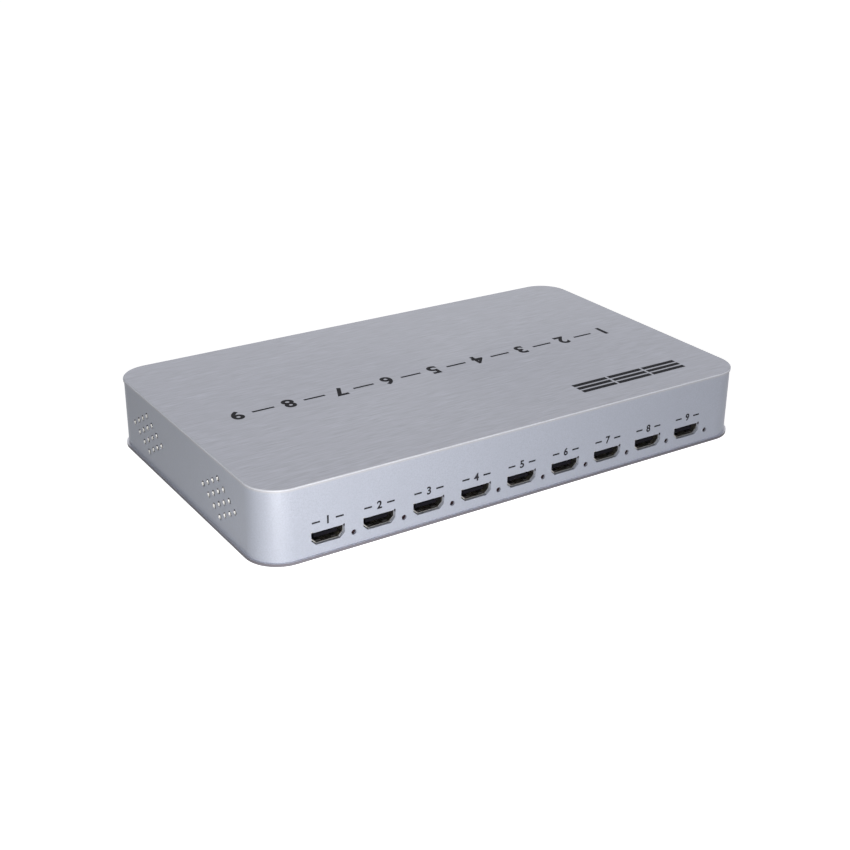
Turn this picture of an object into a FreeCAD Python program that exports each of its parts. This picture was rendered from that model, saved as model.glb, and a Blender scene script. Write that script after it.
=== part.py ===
import FreeCAD, Part
import math
import os
import re
import Sketcher

# Video wall controller: a flat aluminium case of three pieces round one circuit board,
# with a row of video sockets in the front wall and the input, power and control side at the back.
# Frame: X runs along the long walls, the output sockets face -Y, Z is up,
# and the origin lies under the middle of the case, at the height of the feet's undersides.

# Counts
OUTPUTS = 9
VENT_SIDE = 4
KEYS = 3
FINS = 15

# Sizes in millimetres, one cell of the sheet each
SIZES = {
    # case
    "case_length": 250.0,
    "case_depth": 149.0,
    "case_height": 32.8,
    "corner_radius": 14.5,
    "wall_thickness": 2.0,
    "lid_thickness": 1.2,
    "lid_overhang": 0.4,
    "lid_chamfer": 0.3,
    "plate_thickness": 1.2,
    "plate_outset": 1.0,
    # feet
    "foot_height": 2.0,
    "foot_radius": 5.0,
    "foot_taper": 0.5,
    "foot_inset_x": 22.0,
    "foot_inset_y": 20.0,
    # screw columns and the screws that clamp plate, wall and lid
    "column_radius": 4.0,
    "column_inset": 7.7,
    "column_bite": 1.0,
    "column_bore": 1.7,
    "boss_radius": 3.0,
    "boss_height": 6.0,
    "case_screw_radius": 1.5,
    "case_screw_clear": 1.6,
    "case_screw_head": 2.7,
    "thread_gap": 0.05,
    "sink_gap": 0.1,
    # vents in the short walls
    "vent_radius": 1.3,
    "vent_pitch": 5.757,
    "vent_back_inset": 36.8,
    "vent_front_inset": 38.3,
    "vent_height": 15.75,
    # board and its fixings
    "board_end_gap": 10.6,
    "board_thickness": 1.6,
    "board_gap": 0.6,
    "standoff_height": 2.6,
    "standoff_radius": 2.6,
    "board_hole": 1.6,
    "board_screw_radius": 1.5,
    "board_screw_head": 2.75,
    "board_screw_head_height": 1.8,
    "board_screw_tip": 0.3,
    "fixing_inset": 5.5,
    "fixing_setback": 5.5,
    # video sockets
    "row_start": 28.6,
    "row_end": 32.6,
    "opening_width": 14.0,
    "opening_height": 4.55,
    "opening_chamfer": 2.1,
    "shell_thickness": 0.3,
    "shell_depth": 11.6,
    "socket_recess": 1.0,
    "socket_lift": 0.25,
    "socket_gap": 0.2,
    "chamfer_gap": 0.45,
    "relief_radius": 0.45,
    "relief_inset": 0.4,
    "leg_width": 1.4,
    "leg_first": 4.2,
    "leg_second": 9.2,
    "insert_gap": 0.05,
    "insert_block": 2.7,
    "tongue_width": 10.4,
    "tongue_thickness": 1.5,
    "tongue_recess": 1.5,
    # output lights
    "light_offset": 11.6,
    "light_rise": 0.85,
    "light_hole": 1.15,
    "light_lens": 1.0,
    "light_recess": 0.7,
    "light_body_width": 2.6,
    "light_body_height": 2.9,
    "light_body_depth": 3.0,
    # back side: the fronts' recess, the power button's inset, then one step to each next piece
    "back_recess": 0.1,
    "power_inset": 28.6,
    "jack_step": 19.0,
    "input_step": 25.0,
    "usb_step": 25.0,
    "serial_step": 24.0,
    "key_step": 27.0,
    "key_pitch": 13.0,
    "window_step": 20.0,
    "status_step": 14.0,
    # power button
    "button_radius": 3.8,
    "button_gap": 0.15,
    "button_proud": 0.9,
    "button_length": 3.6,
    "button_edge": 0.4,
    "button_socket": 2.2,
    "button_travel": 1.5,
    "stem_radius": 1.5,
    "stem_gap": 0.1,
    "stem_collar": 2.2,
    "stem_collar_length": 1.5,
    "switch_width": 8.4,
    "switch_depth": 12.0,
    "switch_cover": 1.0,
    "switch_setback": 2.5,
    "switch_slack": 0.05,
    # keys
    "key_radius": 1.75,
    "key_gap": 0.2,
    "key_proud": 0.8,
    "key_travel": 0.3,
    "key_edge": 0.3,
    "key_collar": 2.4,
    "key_collar_length": 0.8,
    "key_rise": 3.4,
    "key_body_width": 6.2,
    "key_body_height": 6.4,
    "key_body_depth": 3.6,
    "key_cover": 0.6,
    "key_setback": 2.0,
    # power inlet
    "jack_width": 9.0,
    "jack_height": 11.0,
    "jack_depth": 12.0,
    "jack_axis": 6.5,
    "jack_nose": 3.9,
    "jack_hole_gap": 0.2,
    "jack_bore": 3.15,
    "jack_bore_depth": 9.5,
    "jack_pin": 1.0,
    "jack_pin_recess": 1.0,
    # usb socket
    "usb_width": 12.5,
    "usb_height": 5.1,
    "usb_depth": 14.0,
    "usb_thickness": 0.35,
    "usb_lift": 0.15,
    "usb_tongue_width": 11.1,
    "usb_tongue_thickness": 1.85,
    "usb_tongue_drop": 0.75,
    "usb_tongue_recess": 1.2,
    "usb_block": 4.0,
    # serial terminal
    "serial_width": 12.9,
    "serial_height": 7.3,
    "serial_depth": 9.2,
    "serial_wall": 0.9,
    "serial_cavity": 7.4,
    "serial_pin_pitch": 3.81,
    "serial_pin_width": 1.0,
    "serial_pin_recess": 1.4,
    # infrared window and receiver
    "window_radius": 2.5,
    "window_flange": 3.5,
    "window_flange_thickness": 0.8,
    "window_gap": 0.05,
    "window_rise": 3.7,
    "receiver_width": 6.0,
    "receiver_height": 6.4,
    "receiver_depth": 3.0,
    "receiver_gap": 0.3,
    "receiver_lens": 1.9,
    # processor and its heat sink
    "processor_size": 31.0,
    "processor_height": 2.2,
    "processor_x": -4.0,
    "processor_y": 2.0,
    "pad_size": 28.0,
    "pad_thickness": 0.5,
    "sink_length": 60.0,
    "sink_width": 50.0,
    "sink_base": 3.0,
    "fin_height": 9.0,
    "fin_thickness": 1.2,
    "sink_pin_radius": 1.4,
    "sink_pin_hole": 1.6,
    "sink_pin_head": 2.6,
    "sink_pin_head_height": 1.6,
    "sink_pin_inset": 4.0,
    # smaller chips and power parts on the board
    "memory_length": 13.3,
    "memory_width": 8.0,
    "memory_height": 1.1,
    "memory_x": 44.0,
    "memory_y": 12.0,
    "driver_size": 10.0,
    "driver_height": 1.2,
    "driver_setback": 13.5,
    "receiver_chip_size": 12.0,
    "receiver_chip_setback": 17.5,
    "control_chip_size": 10.0,
    "control_chip_x": -56.0,
    "control_chip_y": 38.0,
    "crystal_length": 11.2,
    "crystal_width": 4.7,
    "crystal_height": 3.5,
    "crystal_gap": 3.0,
    "inductor_size": 10.0,
    "inductor_height": 4.5,
    "inductor_step": 18.0,
    "inductor_pitch": 18.0,
    "capacitor_radius": 4.0,
    "capacitor_height": 10.0,
    "capacitor_base": 8.6,
    "capacitor_base_height": 1.2,
    "capacitor_inset": 14.0,
    "capacitor_pitch": 14.0,
}

# Places worked out from the sizes
PLACES = {
    "wall_x": "case_length / 2 - lid_overhang",
    "wall_y": "case_depth / 2 - lid_overhang",
    "wall_radius": "corner_radius - lid_overhang",
    "inner_x": "wall_x - wall_thickness",
    "inner_y": "wall_y - wall_thickness",
    "plate_x": "wall_x + plate_outset",
    "plate_y": "wall_y + plate_outset",
    "plate_top": "foot_height + plate_thickness",
    "case_top": "foot_height + case_height",
    "lid_low": "case_top - lid_thickness",
    "boss_low": "lid_low - boss_height",
    "case_screw_length": "lid_low - foot_height - case_screw_clear",
    "column_x": "wall_x - column_inset",
    "column_y": "wall_y - column_inset",
    "side_column_x": "inner_x - column_radius + column_bite",
    "foot_x": "plate_x - foot_inset_x",
    "foot_y": "plate_y - foot_inset_y",
    "board_low": "plate_top + standoff_height",
    "board_top": "board_low + board_thickness",
    "board_x": "inner_x - board_end_gap",
    "board_y": "inner_y - board_gap",
    "fixing_x": "board_x - fixing_inset",
    "fixing_y": "socket_rear - fixing_setback",
    "socket_mid": "board_top + socket_lift + shell_thickness + opening_height / 2",
    "first_socket_x": "row_start - wall_x",
    "socket_pitch": "(2 * wall_x - row_start - row_end) / %d" % (OUTPUTS - 1),
    "socket_mouth": "wall_y - socket_recess",
    "socket_rear": "socket_mouth - shell_depth",
    "mouth_y": "wall_y - back_recess",
    "light_z": "board_top + light_rise",
    "vent_z": "foot_height + vent_height",
    "vent_back_y": "wall_y - vent_back_inset",
    "vent_front_y": "vent_front_inset - wall_y",
    "power_x": "wall_x - power_inset",
    "jack_x": "power_x - jack_step",
    "input_x": "jack_x - input_step",
    "usb_x": "input_x - usb_step",
    "serial_x": "usb_x - serial_step",
    "first_key_x": "serial_x - key_step",
    "window_x": "first_key_x - key_pitch * %d - window_step" % (KEYS - 1),
    "status_x": "window_x - status_step",
    "button_z": "board_top + switch_width / 2",
    "switch_face": "inner_y - switch_setback",
    "key_z": "board_top + key_rise",
    "key_face": "inner_y - key_setback",
    "jack_z": "board_top + jack_axis",
    "usb_mid": "board_top + usb_lift + usb_thickness + usb_height / 2",
    "serial_mid": "board_top + serial_height / 2",
    "window_z": "board_top + window_rise",
    "pad_low": "board_top + processor_height",
    "sink_low": "pad_low + pad_thickness",
    "sink_pin_x": "sink_length / 2 - sink_pin_inset",
    "sink_pin_y": "sink_width / 2 - sink_pin_inset",
    "driver_y": "driver_setback - socket_rear",
    "receiver_chip_y": "socket_rear - receiver_chip_setback",
    "capacitor_x": "board_x - capacitor_inset",
    "inductor_x": "capacitor_x - inductor_step",
}

ROOT_TWO = "sqrt(2)"
WORD = re.compile(r"[a-z][a-z_]*")

doc = FreeCAD.newDocument("video_wall_controller")
parts = []


def linked(text):
    """Return an expression with each size and place name written as a reference."""

    def reference(match):
        word = match.group(0)
        if word in SIZES:
            return "Sizes." + word
        if word in PLACES:
            return "Places." + word
        return word

    return WORD.sub(reference, text)


def bind(item, target, text):
    """Bind one property of an object to an expression."""
    item.setExpression(target, linked(text))


def make_sheet():
    """Write every size into a cell with its name as the alias."""
    sheet = doc.addObject("Spreadsheet::Sheet", "Sizes")
    for row, (name, size) in enumerate(SIZES.items(), start=1):
        sheet.set("A%d" % row, name)
        sheet.set("B%d" % row, str(size))
        sheet.setAlias("B%d" % row, name)
    doc.recompute()


def make_places():
    """Bind every place to the sizes that set it."""
    places = doc.addObject("App::VarSet", "Places")
    for name, text in PLACES.items():
        places.addProperty("App::PropertyFloat", name)
        bind(places, name, text)
    doc.recompute()


make_sheet()
make_places()
probe = doc.addObject("App::VarSet", "Probe")
probe.addProperty("App::PropertyFloat", "reading")


def number(text):
    """Return the present value of an expression, to draw a sketch near its final shape."""
    bind(probe, "reading", text)
    probe.recompute()
    return probe.reading


# Sketches and features of one body

def new_body(label):
    """Start the body of one sub-part."""
    body = doc.addObject("PartDesign::Body", label)
    body.Label = label
    parts.append(body)
    return body


def new_sketch(body, role, offset="0"):
    """Attach a sketch to one of the body's origin planes, moved along the plane's normal."""
    sketch = body.newObject("Sketcher::SketchObject", body.Label + "_sketch")
    plane = next(feature for feature in body.Origin.OriginFeatures if feature.Role == role)
    sketch.AttachmentSupport = [(plane, "")]
    sketch.MapMode = "FlatFace"
    bind(sketch, "AttachmentOffset.Base.z", offset)
    return sketch


def hold(sketch, entries):
    """Add constraints, each with the expression of its size."""
    made = [Sketcher.Constraint(*entry[:-1], number(entry[-1])) for entry in entries]
    for index, entry in zip(sketch.addConstraint(made), entries):
        bind(sketch, "Constraints[%d]" % index, entry[-1])


def draw_polygon(sketch, points):
    """Draw a closed outline whose corners are each held from the sketch's origin."""
    corners = [FreeCAD.Vector(number(across), number(up), 0) for across, up in points]
    count = len(points)
    first = sketch.GeometryCount
    sides = [Part.LineSegment(corners[i], corners[(i + 1) % count]) for i in range(count)]
    sketch.addGeometry(sides, False)
    joints = [
        Sketcher.Constraint("Coincident", first + i, 2, first + (i + 1) % count, 1)
        for i in range(count)
    ]
    sketch.addConstraint(joints)
    held = []
    for i, (across, up) in enumerate(points):
        held.append(("DistanceX", -1, 1, first + i, 1, across))
        held.append(("DistanceY", -1, 1, first + i, 1, up))
    hold(sketch, held)


def draw_rectangle(sketch, left, right, low, high):
    """Draw a rectangle between four held sides."""
    draw_polygon(sketch, [(left, low), (right, low), (right, high), (left, high)])


def draw_circle(sketch, across, up, radius):
    """Draw a circle held by its centre and radius."""
    index = sketch.GeometryCount
    centre = FreeCAD.Vector(number(across), number(up), 0)
    sketch.addGeometry([Part.Circle(centre, FreeCAD.Vector(0, 0, 1), number(radius))], False)
    held = [("DistanceX", -1, 1, index, 3, across), ("DistanceY", -1, 1, index, 3, up)]
    hold(sketch, held + [("Radius", index, radius)])


def draw_rounded(sketch, half_across, half_up, radius):
    """Draw a rectangle about the origin with four tangent corner arcs."""
    width, height, bend = number(half_across), number(half_up), number(radius)
    first = sketch.GeometryCount
    corners = [(1, -1, -90), (1, 1, 0), (-1, 1, 90), (-1, -1, 180)]
    flat_x, flat_y = width - bend, height - bend
    starts = [(-flat_x, -height), (width, -flat_y), (flat_x, height), (-width, flat_y)]
    ends = [(flat_x, -height), (width, flat_y), (-flat_x, height), (-width, -flat_y)]
    for (side, level, turn), start, end in zip(corners, starts, ends):
        line = Part.LineSegment(FreeCAD.Vector(*start, 0), FreeCAD.Vector(*end, 0))
        centre = FreeCAD.Vector(side * flat_x, level * flat_y, 0)
        circle = Part.Circle(centre, FreeCAD.Vector(0, 0, 1), bend)
        arc = Part.ArcOfCircle(circle, math.radians(turn), math.radians(turn + 90))
        sketch.addGeometry([line, arc], False)
    rules = []
    for i in range(4):
        line, arc, following = first + 2 * i, first + 2 * i + 1, first + (2 * i + 2) % 8
        rules.append(Sketcher.Constraint("Tangent", line, 2, arc, 1))
        rules.append(Sketcher.Constraint("Tangent", arc, 2, following, 1))
        rules.append(Sketcher.Constraint("Vertical" if i % 2 else "Horizontal", line))
    for i in range(1, 4):
        rules.append(Sketcher.Constraint("Equal", first + 1, first + 2 * i + 1))
    sketch.addConstraint(rules)
    hold(sketch, [
        ("Radius", first + 1, radius),
        ("DistanceY", -1, 1, first, 1, "-(%s)" % half_up),
        ("DistanceX", -1, 1, first + 2, 1, half_across),
        ("DistanceY", -1, 1, first + 4, 1, half_up),
        ("DistanceX", -1, 1, first + 6, 1, "-(%s)" % half_across),
    ])


def add_pad(body, sketch, length, reverse=False):
    """Pad a sketch along its normal, or against it."""
    pad = body.newObject("PartDesign::Pad", body.Label + "_pad")
    pad.Profile = sketch
    bind(pad, "Length", length)
    pad.Reversed = reverse
    return pad


def add_pocket(body, sketch, depth, reverse=False):
    """Cut a sketch against its normal, or along it, and make sure that it took material away."""
    pocket = body.newObject("PartDesign::Pocket", body.Label + "_pocket")
    pocket.Profile = sketch
    bind(pocket, "Length", depth)
    pocket.Reversed = reverse
    must_cut(pocket)
    return pocket


def add_turned(body, sketch, axis, cut=False):
    """Turn a sketch all the way round one of its axes, as material or as a cut."""
    kind = "PartDesign::Groove" if cut else "PartDesign::Revolution"
    turned = body.newObject(kind, body.Label + "_turned")
    turned.Profile = sketch
    turned.ReferenceAxis = (sketch, [axis])
    turned.Angle = 360
    if cut:
        must_cut(turned)
    return turned


def chamfer_rim(body, pad, level, size):
    """Chamfer the outer edges of a padded outline that lie at one height."""
    doc.recompute()
    height = number(level)
    reach = pad.Shape.BoundBox
    rim = []
    for index, edge in enumerate(pad.Shape.Edges, start=1):
        ends = [vertex.Point for vertex in edge.Vertexes]
        flat = all(abs(end.z - height) < 0.001 for end in ends)
        outer = all(max(abs(end.x) - reach.XMax, abs(end.y) - reach.YMax) > -0.001 for end in ends)
        if flat and outer:
            rim.append("Edge%d" % index)
    chamfer = body.newObject("PartDesign::Chamfer", body.Label + "_edge")
    chamfer.Base = (pad, rim)
    bind(chamfer, "Size", size)


def must_cut(feature):
    """Stop if a cut left the solid as large as it was."""
    doc.recompute()
    if feature.Shape.Volume >= feature.BaseFeature.Shape.Volume:
        raise ValueError(feature.Label + " cuts nothing")


def place_body(body, across, along, up, turn=0):
    """Move a body drawn about its own origin to its place, turned about Z."""
    turning = FreeCAD.Rotation(FreeCAD.Vector(0, 0, 1), turn)
    body.Placement = FreeCAD.Placement(FreeCAD.Vector(), turning)
    bind(body, "Placement.Base.x", across)
    bind(body, "Placement.Base.y", along)
    bind(body, "Placement.Base.z", up)


# Primitives

FACING = {
    "up": FreeCAD.Rotation(),
    "back": FreeCAD.Rotation(FreeCAD.Vector(1, 0, 0), -90),
    "front": FreeCAD.Rotation(FreeCAD.Vector(1, 0, 0), 90),
}


def new_block(name, across, along, up):
    """Make a box from its low and high side along X, Y and Z."""
    block = doc.addObject("Part::Box", name)
    for size, axis, (low, high) in zip(("Length", "Width", "Height"), "xyz", (across, along, up)):
        bind(block, size, "(%s) - (%s)" % (high, low))
        bind(block, "Placement.Base." + axis, low)
    return block


def new_rod(name, radius, length, start, facing="up", tip=None):
    """Make a cylinder, or a cone where tip gives the far radius, from a starting point."""
    rod = doc.addObject("Part::Cone" if tip else "Part::Cylinder", name)
    bind(rod, "Radius1" if tip else "Radius", radius)
    if tip:
        bind(rod, "Radius2", tip)
    bind(rod, "Height", length)
    rod.Placement = FreeCAD.Placement(FreeCAD.Vector(), FACING[facing])
    for axis, place in zip("xyz", start):
        bind(rod, "Placement.Base." + axis, place)
    return rod


def new_fuse(name, items):
    """Join touching solids of one piece."""
    fuse = doc.addObject("Part::MultiFuse", name)
    fuse.Shapes = items
    fuse.Refine = True
    return fuse


def new_cut(name, base, tool):
    """Cut one solid from another."""
    cut = doc.addObject("Part::Cut", name)
    cut.Base = base
    cut.Tool = tool
    return cut


def keep_piece(item, label):
    """Name a finished piece as a sub-part."""
    item.Label = label
    parts.append(item)
    return item


def keep_group(label, items):
    """Keep several alike pieces as one sub-part of separate solids."""
    group = doc.addObject("Part::Compound", label)
    group.Links = items
    return keep_piece(group, label)


def centred(place, width):
    """Return the low and high side of a width about a place."""
    return ("%s - (%s) / 2" % (place, width), "%s + (%s) / 2" % (place, width))


def socket_x(index):
    """Return the place of one output socket along X."""
    return "first_socket_x + socket_pitch * %d" % index


def fixing_places():
    """Return the places of the board's fixings."""
    return [("%s * fixing_x" % side, "%s * fixing_y" % level) for side in (-1, 0, 1) for level in (-1, 1)]


def column_places():
    """Return the places of the screw columns: four corners and the middle of each short wall."""
    corners = [("%s * column_x" % side, "%s * column_y" % level) for side in (-1, 1) for level in (-1, 1)]
    return corners + [("%s * side_column_x" % side, "0 * column_y") for side in (-1, 1)]


# Outline of a video socket: wide at the top, with the two lower corners cut away

def socket_outline(grow, middle, chamfer_grow=None):
    """Return the opening's outline grown by one distance, or by another one at its chamfers."""
    across, level = middle
    half = "(opening_width / 2 + %s)" % grow
    rise = "(opening_height / 2 + %s)" % grow
    leg = "(opening_chamfer + 2 * (%s) - %s * (%s))" % (grow, ROOT_TWO, chamfer_grow or grow)
    return [
        ("%s - %s + %s" % (across, half, leg), "%s - %s" % (level, rise)),
        ("%s + %s - %s" % (across, half, leg), "%s - %s" % (level, rise)),
        ("%s + %s" % (across, half), "%s - %s + %s" % (level, rise, leg)),
        ("%s + %s" % (across, half), "%s + %s" % (level, rise)),
        ("%s - %s" % (across, half), "%s + %s" % (level, rise)),
        ("%s - %s" % (across, half), "%s - %s + %s" % (level, rise, leg)),
    ]


def cutout_outline(middle):
    """Return the wall's cut-out round a socket, wider at the chamfers."""
    return socket_outline("(shell_thickness + socket_gap)", middle, "(shell_thickness + chamfer_gap)")


# Case

def make_wall():
    """Make the wall: a rounded band with screw columns, socket cut-outs and vents."""
    wall = new_body("wall_frame")
    band = new_sketch(wall, "XY_Plane", "plate_top")
    draw_rounded(band, "wall_x", "wall_y", "wall_radius")
    draw_rounded(band, "inner_x", "inner_y", "wall_radius - wall_thickness")
    add_pad(wall, band, "lid_low - plate_top")
    columns = new_sketch(wall, "XY_Plane", "plate_top")
    for across, along in column_places():
        draw_circle(columns, across, along, "column_radius")
    add_pad(wall, columns, "boss_low - plate_top")
    bores = new_sketch(wall, "XY_Plane", "plate_top")
    for across, along in column_places():
        draw_circle(bores, across, along, "column_bore")
    add_pocket(wall, bores, "boss_low - plate_top", reverse=True)
    cut_front(wall)
    cut_back(wall)
    cut_vents(wall)


def cut_front(wall):
    """Cut the output sockets, the round reliefs at their top corners and the light holes."""
    face = "wall_y + wall_thickness"
    depth = "3 * wall_thickness"
    outlines = new_sketch(wall, "XZ_Plane", face)
    for index in range(OUTPUTS):
        draw_polygon(outlines, cutout_outline((socket_x(index), "socket_mid")))
    add_pocket(wall, outlines, depth)
    reliefs = new_sketch(wall, "XZ_Plane", face)
    edge = "opening_height / 2 + shell_thickness + socket_gap"
    side = "(opening_width / 2 + shell_thickness + socket_gap - relief_inset)"
    for index in range(OUTPUTS):
        for sign in ("-", "+"):
            across = "%s %s %s" % (socket_x(index), sign, side)
            draw_circle(reliefs, across, "socket_mid + " + edge, "relief_radius")
    add_pocket(wall, reliefs, depth)
    lights = new_sketch(wall, "XZ_Plane", face)
    for index in range(OUTPUTS):
        draw_circle(lights, socket_x(index) + " + light_offset", "light_z", "light_hole")
    add_pocket(wall, lights, depth)


def cut_back(wall):
    """Cut the holes of the input, power and control side."""
    cuts = new_sketch(wall, "XZ_Plane", "-(inner_y - wall_thickness)")
    draw_circle(cuts, "power_x", "button_z", "button_radius + button_gap")
    draw_circle(cuts, "jack_x", "jack_z", "jack_nose + jack_hole_gap")
    draw_polygon(cuts, cutout_outline(("input_x", "socket_mid")))
    usb_side = "usb_width + 2 * (usb_thickness + socket_gap)"
    usb_rise = "usb_height + 2 * (usb_thickness + socket_gap)"
    draw_rectangle(cuts, *centred("usb_x", usb_side), *centred("usb_mid", usb_rise))
    serial_side = "serial_width + 2 * socket_gap"
    serial_rise = "serial_height + 2 * socket_gap"
    draw_rectangle(cuts, *centred("serial_x", serial_side), *centred("serial_mid", serial_rise))
    for index in range(KEYS):
        draw_circle(cuts, "first_key_x - key_pitch * %d" % index, "key_z", "key_radius + key_gap")
    draw_circle(cuts, "window_x", "window_z", "window_radius + window_gap")
    draw_circle(cuts, "status_x", "light_z", "light_hole")
    add_pocket(wall, cuts, "3 * wall_thickness")


def cut_vents(wall):
    """Drill a rhombus of staggered holes twice through both short walls."""
    vents = new_sketch(wall, "YZ_Plane", "-(wall_x + wall_thickness)")
    for group in ("vent_back_y", "vent_front_y"):
        for row in range(VENT_SIDE):
            for place in range(VENT_SIDE):
                along = "%s + (%d) * vent_pitch * sqrt(3) / 2" % (group, place - row)
                level = "vent_z + (%d) * vent_pitch / 2" % (VENT_SIDE - 1 - place - row)
                draw_circle(vents, along, level, "vent_radius")
    add_pocket(wall, vents, "2 * (wall_x + wall_thickness)", reverse=True)


def make_lid():
    """Make the top panel with its bright cut edge."""
    lid = new_body("top_panel")
    outline = new_sketch(lid, "XY_Plane", "lid_low")
    draw_rounded(outline, "case_length / 2", "case_depth / 2", "corner_radius")
    pad = add_pad(lid, outline, "lid_thickness")
    chamfer_rim(lid, pad, "case_top", "lid_chamfer")
    bosses = []
    for across, along in column_places():
        start = (across, along, "boss_low")
        rod = new_rod("boss", "boss_radius", "boss_height", start)
        bore = new_rod("boss_bore", "case_screw_radius + thread_gap", "boss_height", start)
        bosses.append(new_cut("lid_boss", rod, bore))
    keep_group("lid_bosses", bosses)


def make_plate():
    """Make the bottom plate with its countersunk holes."""
    plate = new_body("bottom_plate")
    outline = new_sketch(plate, "XY_Plane", "foot_height")
    draw_rounded(outline, "plate_x", "plate_y", "wall_radius + plate_outset")
    add_pad(plate, outline, "plate_thickness")
    for across, along in column_places():
        sink = new_sketch(plate, "XZ_Plane", "-(%s)" % along)
        deep = "case_screw_head - column_bore"
        points = [
            (across, "foot_height"),
            (across + " + case_screw_head + sink_gap", "foot_height"),
            (across + " + column_bore", "foot_height + %s + sink_gap" % deep),
            (across + " + column_bore", "plate_top"),
            (across, "plate_top"),
        ]
        draw_polygon(sink, points)
        axis = sink.addGeometry(Part.LineSegment(FreeCAD.Vector(0, 0, 0), FreeCAD.Vector(0, 1, 0)), True)
        sink.addConstraint(Sketcher.Constraint("Coincident", axis, 1, axis - 5, 1))
        sink.addConstraint(Sketcher.Constraint("Coincident", axis, 2, axis - 1, 1))
        add_turned(plate, sink, "Axis0", cut=True)


def make_case_screws():
    """Make the long countersunk screws that clamp plate, wall and lid."""
    screws = []
    for across, along in column_places():
        deep = "case_screw_head - case_screw_radius"
        start = (across, along, "foot_height")
        head = new_rod("screw_head", "case_screw_head", deep, start, tip="case_screw_radius")
        start = (across, along, "foot_height + " + deep)
        shank = new_rod("screw_shank", "case_screw_radius", "case_screw_length - (%s)" % deep, start)
        screws.append(new_fuse("case_screw", [head, shank]))
    keep_group("case_screws", screws)


def make_feet():
    """Make the four tapered rubber feet."""
    feet = []
    for side in (-1, 1):
        for level in (-1, 1):
            start = ("%d * foot_x" % side, "%d * foot_y" % level, "0 * foot_height")
            feet.append(new_rod("foot", "foot_radius - foot_taper", "foot_height", start, tip="foot_radius"))
    keep_group("rubber_feet", feet)


# Board and what it stands on

def make_board():
    """Make the circuit board with its fixing holes and the heat sink's pin holes."""
    board = new_body("main_board")
    outline = new_sketch(board, "XY_Plane", "board_low")
    draw_rectangle(outline, "-board_x", "board_x", "-board_y", "board_y")
    add_pad(board, outline, "board_thickness")
    holes = new_sketch(board, "XY_Plane", "board_low")
    for across, along in fixing_places():
        draw_circle(holes, across, along, "board_hole")
    for side in (-1, 1):
        across = "processor_x + %d * sink_pin_x" % side
        draw_circle(holes, across, "processor_y + %d * sink_pin_y" % side, "sink_pin_hole")
    add_pocket(board, holes, "board_thickness", reverse=True)


def make_board_fixings():
    """Make the standoffs on the plate and the screws that hold the board on them."""
    standoffs = []
    screws = []
    for across, along in fixing_places():
        post = new_rod("post", "standoff_radius", "standoff_height", (across, along, "plate_top"))
        bore_radius = "board_screw_radius + thread_gap"
        bore = new_rod("post_bore", bore_radius, "standoff_height", (across, along, "plate_top"))
        standoffs.append(new_cut("standoff", post, bore))
        start = (across, along, "board_top")
        head = new_rod("board_screw_head", "board_screw_head", "board_screw_head_height", start)
        reach = "board_thickness + standoff_height - board_screw_tip"
        tip = (across, along, "plate_top + board_screw_tip")
        shank = new_rod("board_screw_shank", "board_screw_radius", reach, tip)
        screws.append(new_fuse("board_screw", [head, shank]))
    keep_group("board_standoffs", standoffs)
    keep_group("board_screws", screws)


# Video sockets: a folded metal shell on four legs round a plastic insert with a tongue

def make_socket(shell_label, insert_label, across, along, turn):
    """Make one video socket whose mouth is at the given place and faces its own -Y."""
    shell = new_body(shell_label)
    middle = ("0", "0")
    sleeve = new_sketch(shell, "XZ_Plane")
    draw_polygon(sleeve, socket_outline("shell_thickness", middle))
    add_pad(shell, sleeve, "shell_depth", reverse=True)
    foot_level = "board_top - socket_mid"
    for start in ("leg_first", "leg_second"):
        legs = new_sketch(shell, "XZ_Plane", "-" + start)
        inside = "opening_width / 2"
        outside = "opening_width / 2 + shell_thickness"
        draw_rectangle(legs, inside, outside, foot_level, "opening_height / 4")
        draw_rectangle(legs, "-(%s)" % outside, "-" + inside, foot_level, "opening_height / 4")
        add_pad(shell, legs, "leg_width", reverse=True)
    opening = new_sketch(shell, "XZ_Plane")
    draw_polygon(opening, socket_outline("0", middle))
    add_pocket(shell, opening, "shell_depth")
    place_body(shell, across, along, "socket_mid", turn)
    insert = new_body(insert_label)
    block = new_sketch(insert, "XZ_Plane", "-shell_depth")
    draw_polygon(block, socket_outline("(-insert_gap)", middle))
    add_pad(insert, block, "insert_block")
    tongue = new_sketch(insert, "XZ_Plane", "-tongue_recess")
    draw_rectangle(tongue, *centred("0", "tongue_width"), *centred("0", "tongue_thickness"))
    add_pad(insert, tongue, "shell_depth - insert_block - tongue_recess", reverse=True)
    place_body(insert, across, along, "socket_mid", turn)


def make_lights(label, places, along_sign):
    """Make small board lights, each a block with a lens that looks through its hole."""
    lights = []
    for across in places:
        if along_sign < 0:
            along = ("-board_y", "-board_y + light_body_depth")
            start = (across, "-board_y", "light_z")
            facing = "front"
        else:
            along = ("board_y - light_body_depth", "board_y")
            start = (across, "board_y", "light_z")
            facing = "back"
        up = ("board_top", "board_top + light_body_height")
        body = new_block("light_body", centred(across, "light_body_width"), along, up)
        lens = new_rod("light_lens", "light_lens", "wall_y - light_recess - board_y", start, facing)
        lights.append(new_fuse("light", [body, lens]))
    keep_group(label, lights)


# Power button: a round cap on the stem of a push switch

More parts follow.
